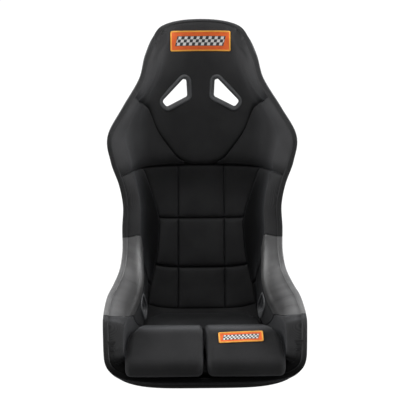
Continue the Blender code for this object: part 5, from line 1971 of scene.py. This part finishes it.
@dataclass
class Patches:
    """The plain embroidered patches on the head cover and on the right leg pad."""

    palette: Palette
    nodes: dict[str, Piece]
    thick: float = 1.4 * MM
    rim: float = 4.2 * MM
    rim_rise: Pair = (0.1 * MM, 0.9 * MM)
    rim_steps: int = 12
    corner: float = 5.0 * MM
    corner_steps: int = 6
    inset: float = 0.4 * MM
    underside: float = 0.25 * MM

    def patch(self, name: str, node: str, target: Piece, field: Material,
              body: str, tilt: float = 0.0) -> None:
        """Lays a patch with a raised border on a cover, where its CAD node is.

        Args:
            name: Name of the piece.
            node: Its CAD node.
            target: Cover that it lies on.
            field: Finish of its field.
            body: Body that it rides on.
            tilt: Turn in its own plane, in radians.
        """
        low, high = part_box(node)
        points = corner_points(self.nodes[node])
        centre = (np.array(low) + np.array(high)) / 2
        spread = points - points.mean(axis=0)
        normal = np.linalg.svd(spread, full_matrices=False)[2][2]
        normal *= -np.sign(normal[1])
        up = np.cross(normal, [1.0, 0.0, 0.0])
        up *= np.sign(up[2])
        halves = (float(high.x - low.x) / 2, float(np.abs(spread @ up).max()))
        caliper = Caliper(target)
        turn = np.array([[math.cos(tilt), -math.sin(tilt)], [math.sin(tilt), math.cos(tilt)]])

        def lay(flat: Array, height: Array) -> Array:
            """Returns flat points laid on the cover, at heights over it."""
            turned = flat @ turn.T
            starts = centre + turned[:, :1] * np.array([1.0, 0, 0]) + turned[:, 1:] * up
            hits = [caliper.hit(start + normal * 0.05, -normal) for start in starts]
            laid = [start if hit is None else hit for start, hit in zip(starts, hits)]
            return np.array(laid) + np.asarray(height)[:, None] * normal

        self.field(name, lay, halves, Look(field, Slot.PATCH, body), node)
        self.border(name + "_border", lay, halves, Look(self.palette.border, Slot.PATCH, body))

    def squircle(self, flat: Array, halves: Pair) -> Array:
        """Pulls the corners of a rectangle's points in to the corner radius."""
        half = np.array(halves)
        over = np.clip(np.abs(flat) - (half - self.corner), 0.0, None)
        size = np.linalg.norm(over, axis=1)
        factor = np.where(size > self.corner, self.corner / np.maximum(size, 1e-9), 1.0)
        return np.sign(flat) * (np.minimum(np.abs(flat), half - self.corner)
                                + over * factor[:, None])

    def field(self, name: str, lay: Field, halves: Pair, look: Look, node: str) -> None:
        """Makes the flat field of a patch."""
        columns, rows = (np.linspace(-half, half, count) * (1 - self.inset / half)
                         for half, count in zip(halves, (41, 15)))
        lattice = Lattice(rows, columns, doubled=True)
        flat = self.squircle(np.stack([lattice.b, lattice.a], axis=1), halves)
        height = np.where(lattice.is_top, self.thick, self.underside)
        finish_piece(name, lattice.move(lay(flat, height), flat), look, (node,))

    def border(self, name: str, lay: Field, halves: Pair, look: Look) -> None:
        """Makes the raised satin-stitched border of a patch."""
        lift, rise = self.rim_rise
        turns = [2 * math.pi * i / self.rim_steps for i in range(self.rim_steps)]
        grows = [self.rim / 2 * math.cos(turn) - self.rim / 2 for turn in turns]
        heights = np.array([self.thick + lift + rise * math.sin(turn) for turn in turns])
        outlines = np.array([self.dense(rounded(rectangle(*halves), self.corner, grow,
                                                self.corner_steps)) for grow in grows])
        lattice, i, k = wrapped(outlines.shape[1], self.rim_steps)
        uv = np.stack([running(outlines[0])[i], lattice.b * MM], axis=1)
        bm = lattice.move(lay(outlines[k, i], heights[k]), uv)
        finish_piece(name, weld(bm, 1e-7), look)

    def dense(self, outline: Array, parts: int = 14) -> Array:
        """Adds points on the long sides of an outline, the same number on every outline."""
        points = []
        for i, point in enumerate(outline):
            last_of_corner = i % (self.corner_steps + 1) == self.corner_steps
            pieces = parts if last_of_corner else 1
            way = outline[(i + 1) % len(outline)] - point
            points += [point + way * k / pieces for k in range(pieces)]
        return np.array(points)


# ---- side mounts and small parts

# Sections of a mounting pad's edge and of an insert's face, in millimetres
PAD_EDGE = ((-2.2, 0.0), (-0.9, -0.35), (-0.2, -1.1), (0.0, -2.2), (0.2, -9.0))
INSERT_FACE = ((3.4, -0.8), (4.2, 0.0), (10.2, 0.0), (10.8, -0.25), (11.0, -0.8), (11.0, -1.6),
               (10.7, -2.0), (7.0, -2.0))


@dataclass
class SideMounts:
    """The round mounting pads and threaded inserts on both sides."""

    palette: Palette
    nodes: dict[str, Piece]
    bore: float = 7.6 * MM
    depth: float = 9 * MM
    buried_from: float = 8 * MM
    shell_gap: float = 0.2 * MM
    insert_bore: float = 3.4 * MM
    insert_body: float = 7.0 * MM
    steps: int = 56

    def build(self) -> None:
        """Makes the pads and inserts."""
        shell = Caliper(self.nodes["shell"])
        for place in ("front", "rear"):
            for name, side in SIDES:
                ends = f"{place}_{name}"
                self.pad(ends, side, shell)
                self.insert(ends, side)

    def face(self, node: str, side: int) -> tuple[list[float], Vector]:
        """Returns the middle of a node's outer face and its sizes."""
        low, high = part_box(node)
        x = high.x if side > 0 else low.x
        return [x, (low.y + high.y) / 2, (low.z + high.z) / 2], high - low

    def pad(self, ends: str, side: int, shell: Caliper) -> None:
        """Makes a pad whose foot follows the shell.

        Args:
            ends: End of its name.
            side: -1 for left or 1 for right.
            shell: Caliper on the CAD shell.
        """
        centre, size = self.face("side_mount_pad_" + ends, side)
        profile = [(self.bore, 0.0), *in_mm(PAD_EDGE, (size.y / 2, 0.0)), (self.bore, -self.depth)]
        bm = lathe(profile, centre, (side, 0, 0), self.steps)
        for vert in bm.verts:
            if abs(vert.co.x - centre[0]) > self.buried_from:
                hit = shell.side(vert.co.y, vert.co.z, side)
                if hit is not None:
                    vert.co.x = hit + side * self.shell_gap
        finish_piece("mount_pad_" + ends, bm,
                     Look(self.palette.laminate, Slot.LAMINATE, sharp=50.0),
                     ("side_mount_pad_" + ends,))

    def insert(self, ends: str, side: int) -> None:
        """Makes a threaded insert.

        Args:
            ends: End of its name.
            side: -1 for left or 1 for right.
        """
        centre, size = self.face("side_mount_insert_" + ends, side)
        profile = in_mm(INSERT_FACE) + [(self.insert_body, -size.x), (self.insert_bore, -size.x)]
        finish_piece("mount_insert_" + ends, lathe(profile, centre, (side, 0, 0), self.steps),
                     Look(self.palette.steel, Slot.STEEL, sharp=35.0),
                     ("side_mount_insert_" + ends,))


def dress_nodes(nodes: dict[str, Piece], palette: Palette) -> None:
    """Gives the CAD nodes that stay their finish."""
    finishes = {"hook_strip": palette.hook, "foam": palette.foam, "bezel": palette.plastic,
                "backing": palette.plastic, "insert": palette.steel, "screw": palette.steel}
    for name, item in nodes.items():
        fitting = [finish for word, finish in finishes.items() if word in name]
        item.data.materials.clear()
        item.data.materials.append(fitting[0] if fitting else palette.laminate)


# ---- studio

@dataclass(frozen=True)
class Lamp:
    """A square soft lamp: its name, its place, the length of its sides and its watts."""

    name: str
    place: Triple
    size: float
    power: float


@dataclass
class Studio:
    """Pale floor, soft lamps and the camera of the photograph."""

    target: Triple = (0.0140, 0.0, 0.415)
    distance: float = 5.0
    azimuth: float = -1.4
    elevation: float = 17.0
    frame_width: float = 1.12
    sensor: float = 36.0
    lamps: tuple[Lamp, ...] = (Lamp("lamp_above", (0.0, -0.8, 3.1), 1.6, 26.0),
                               Lamp("lamp_left", (-2.6, 0.25, 1.3), 1.5, 112.0),
                               Lamp("lamp_right", (2.6, 0.25, 1.3), 1.5, 120.0))
    lit: Triple = (0.0, 0.0, 0.4)
    glossy_share: float = 0.5
    seen_light: float = 0.88
    room_light: float = 0.12
    floor_size: float = 20.0
    floor_drop: float = 0.2 * MM
    floor_glow: float = 1.16
    glow_share: float = 0.90

    def build(self) -> None:
        """Makes everything round the seat."""
        self.camera()
        self.world()
        self.floor()
        for lamp in self.lamps:
            self.hang(lamp)
        bpy.context.scene.view_settings.view_transform = "Standard"

    def place(self, data: bpy.types.ID, place: Vector, away: Vector) -> Piece:
        """Puts a camera or lamp in a place, with its back turned to a direction."""
        item = bpy.data.objects.new(data.name, data)
        item.location = place
        item.rotation_euler = away.to_track_quat("Z", "Y").to_euler()
        bpy.context.scene.collection.objects.link(item)
        return item

    def camera(self) -> None:
        """Sets the camera at the photograph's angle."""
        turn, rise = math.radians(self.azimuth), math.radians(self.elevation)
        back = Vector((math.sin(turn) * math.cos(rise), -math.cos(turn) * math.cos(rise),
                       math.sin(rise)))
        data = bpy.data.cameras.new("camera")
        data.sensor_width = self.sensor
        data.lens = self.sensor * self.distance / self.frame_width
        place = Vector(self.target) + back * self.distance
        bpy.context.scene.camera = self.place(data, place, back)

    def hang(self, lamp: Lamp) -> None:
        """Hangs a lamp so that it faces the seat."""
        data = bpy.data.lights.new(lamp.name, "AREA")
        data.shape = "SQUARE"
        data.size = lamp.size
        data.energy = lamp.power
        self.place(data, Vector(lamp.place), Vector(lamp.place) - Vector(self.lit))

    def seen_white(self, nodes: Nodes) -> Output:
        """Returns 1 for camera and transmission rays, a share for glossy rays, else 0."""
        path = nodes.add("LightPath").outputs
        either = nodes.math("MAXIMUM", path["Is Camera Ray"], path["Is Transmission Ray"])
        glossy = nodes.math("MULTIPLY", path["Is Glossy Ray"], self.glossy_share)
        return nodes.math("MAXIMUM", either, glossy)

    def world(self) -> None:
        """Makes a plain bright room that is seen as white."""
        world = bpy.data.worlds.new("room")
        bpy.context.scene.world = world
        world.use_nodes = True
        nodes = Nodes(world.node_tree)
        inputs = world.node_tree.nodes["Background"].inputs
        feed(nodes.tree, inputs["Color"], (1.0, 1.0, 1.0))
        strength = nodes.linear(self.seen_white(nodes), self.seen_light, self.room_light)
        feed(nodes.tree, inputs["Strength"], strength)

    def floor(self) -> None:
        """Makes the floor, which keeps a faint shadow of the seat."""
        bm = bmesh.new()
        bmesh.ops.create_grid(bm, x_segments=2, y_segments=2, size=self.floor_size)
        item = new_object("floor", bm)
        material = bpy.data.materials.new("floor")
        material.use_nodes = True
        tree = material.node_tree
        nodes, shader = Nodes(tree), tree.nodes["Principled BSDF"]
        for name, value in (("Base Color", (0.45, 0.45, 0.45)), ("Roughness", 0.9),
                            ("Specular IOR Level", 0.1)):
            feed(tree, shader.inputs[name], value)
        glow = nodes.add("Emission", {"Color": (1.0, 1.0, 1.0), "Strength": self.floor_glow})
        share = nodes.math("MULTIPLY", self.seen_white(nodes), self.glow_share)
        mixed = nodes.add("MixShader", {0: share, 1: shader.outputs[0], 2: glow.outputs[0]})
        tree.links.new(mixed.outputs[0], tree.nodes["Material Output"].inputs["Surface"])
        item.data.materials.append(material)
        item.location.z = -self.floor_drop


def main() -> None:
    """Builds the seat's looks in order."""
    logging.basicConfig(level=logging.INFO, format="%(message)s")
    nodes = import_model()["nodes"]
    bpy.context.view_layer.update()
    palette = Palette()
    surface = SeatSurface()
    dress_nodes(nodes, palette)
    Studio().build()
    shell_maker = Shell(surface, palette)
    shell = shell_maker.shell()
    shell_maker.edgings()
    covers = CoverPanels(surface, palette)
    made = covers.build()
    BackCushion(covers).build()
    Stitching(surface, palette).build(made)
    openings = BeltOpenings(surface, palette, nodes)
    for name, side in SIDES:
        for plan, cover in zip(PLANS, ("head_panel", "hip_panel_" + name)):
            openings.build(plan, name, side, made[cover], shell)
    CrotchBezel(palette).build(shell, made["pan_liner"])
    SideMounts(palette, nodes).build()
    SeatCushion(palette, nodes).build()
    leg_pads = LegPads(palette, nodes, Caliper(*made.values()))
    pads = {name: leg_pads.pad(name, side) for name, side in SIDES}
    patches = Patches(palette, nodes)
    patches.patch("head_badge", "head_patch", made["head_panel"], palette.field, SEAT_BODY)
    patches.patch("leg_pad_badge", "leg_pad_patch", pads["right"], palette.small_field,
                  "leg_pad_right", math.radians(2.5))


if __name__ == "__main__":
    main()
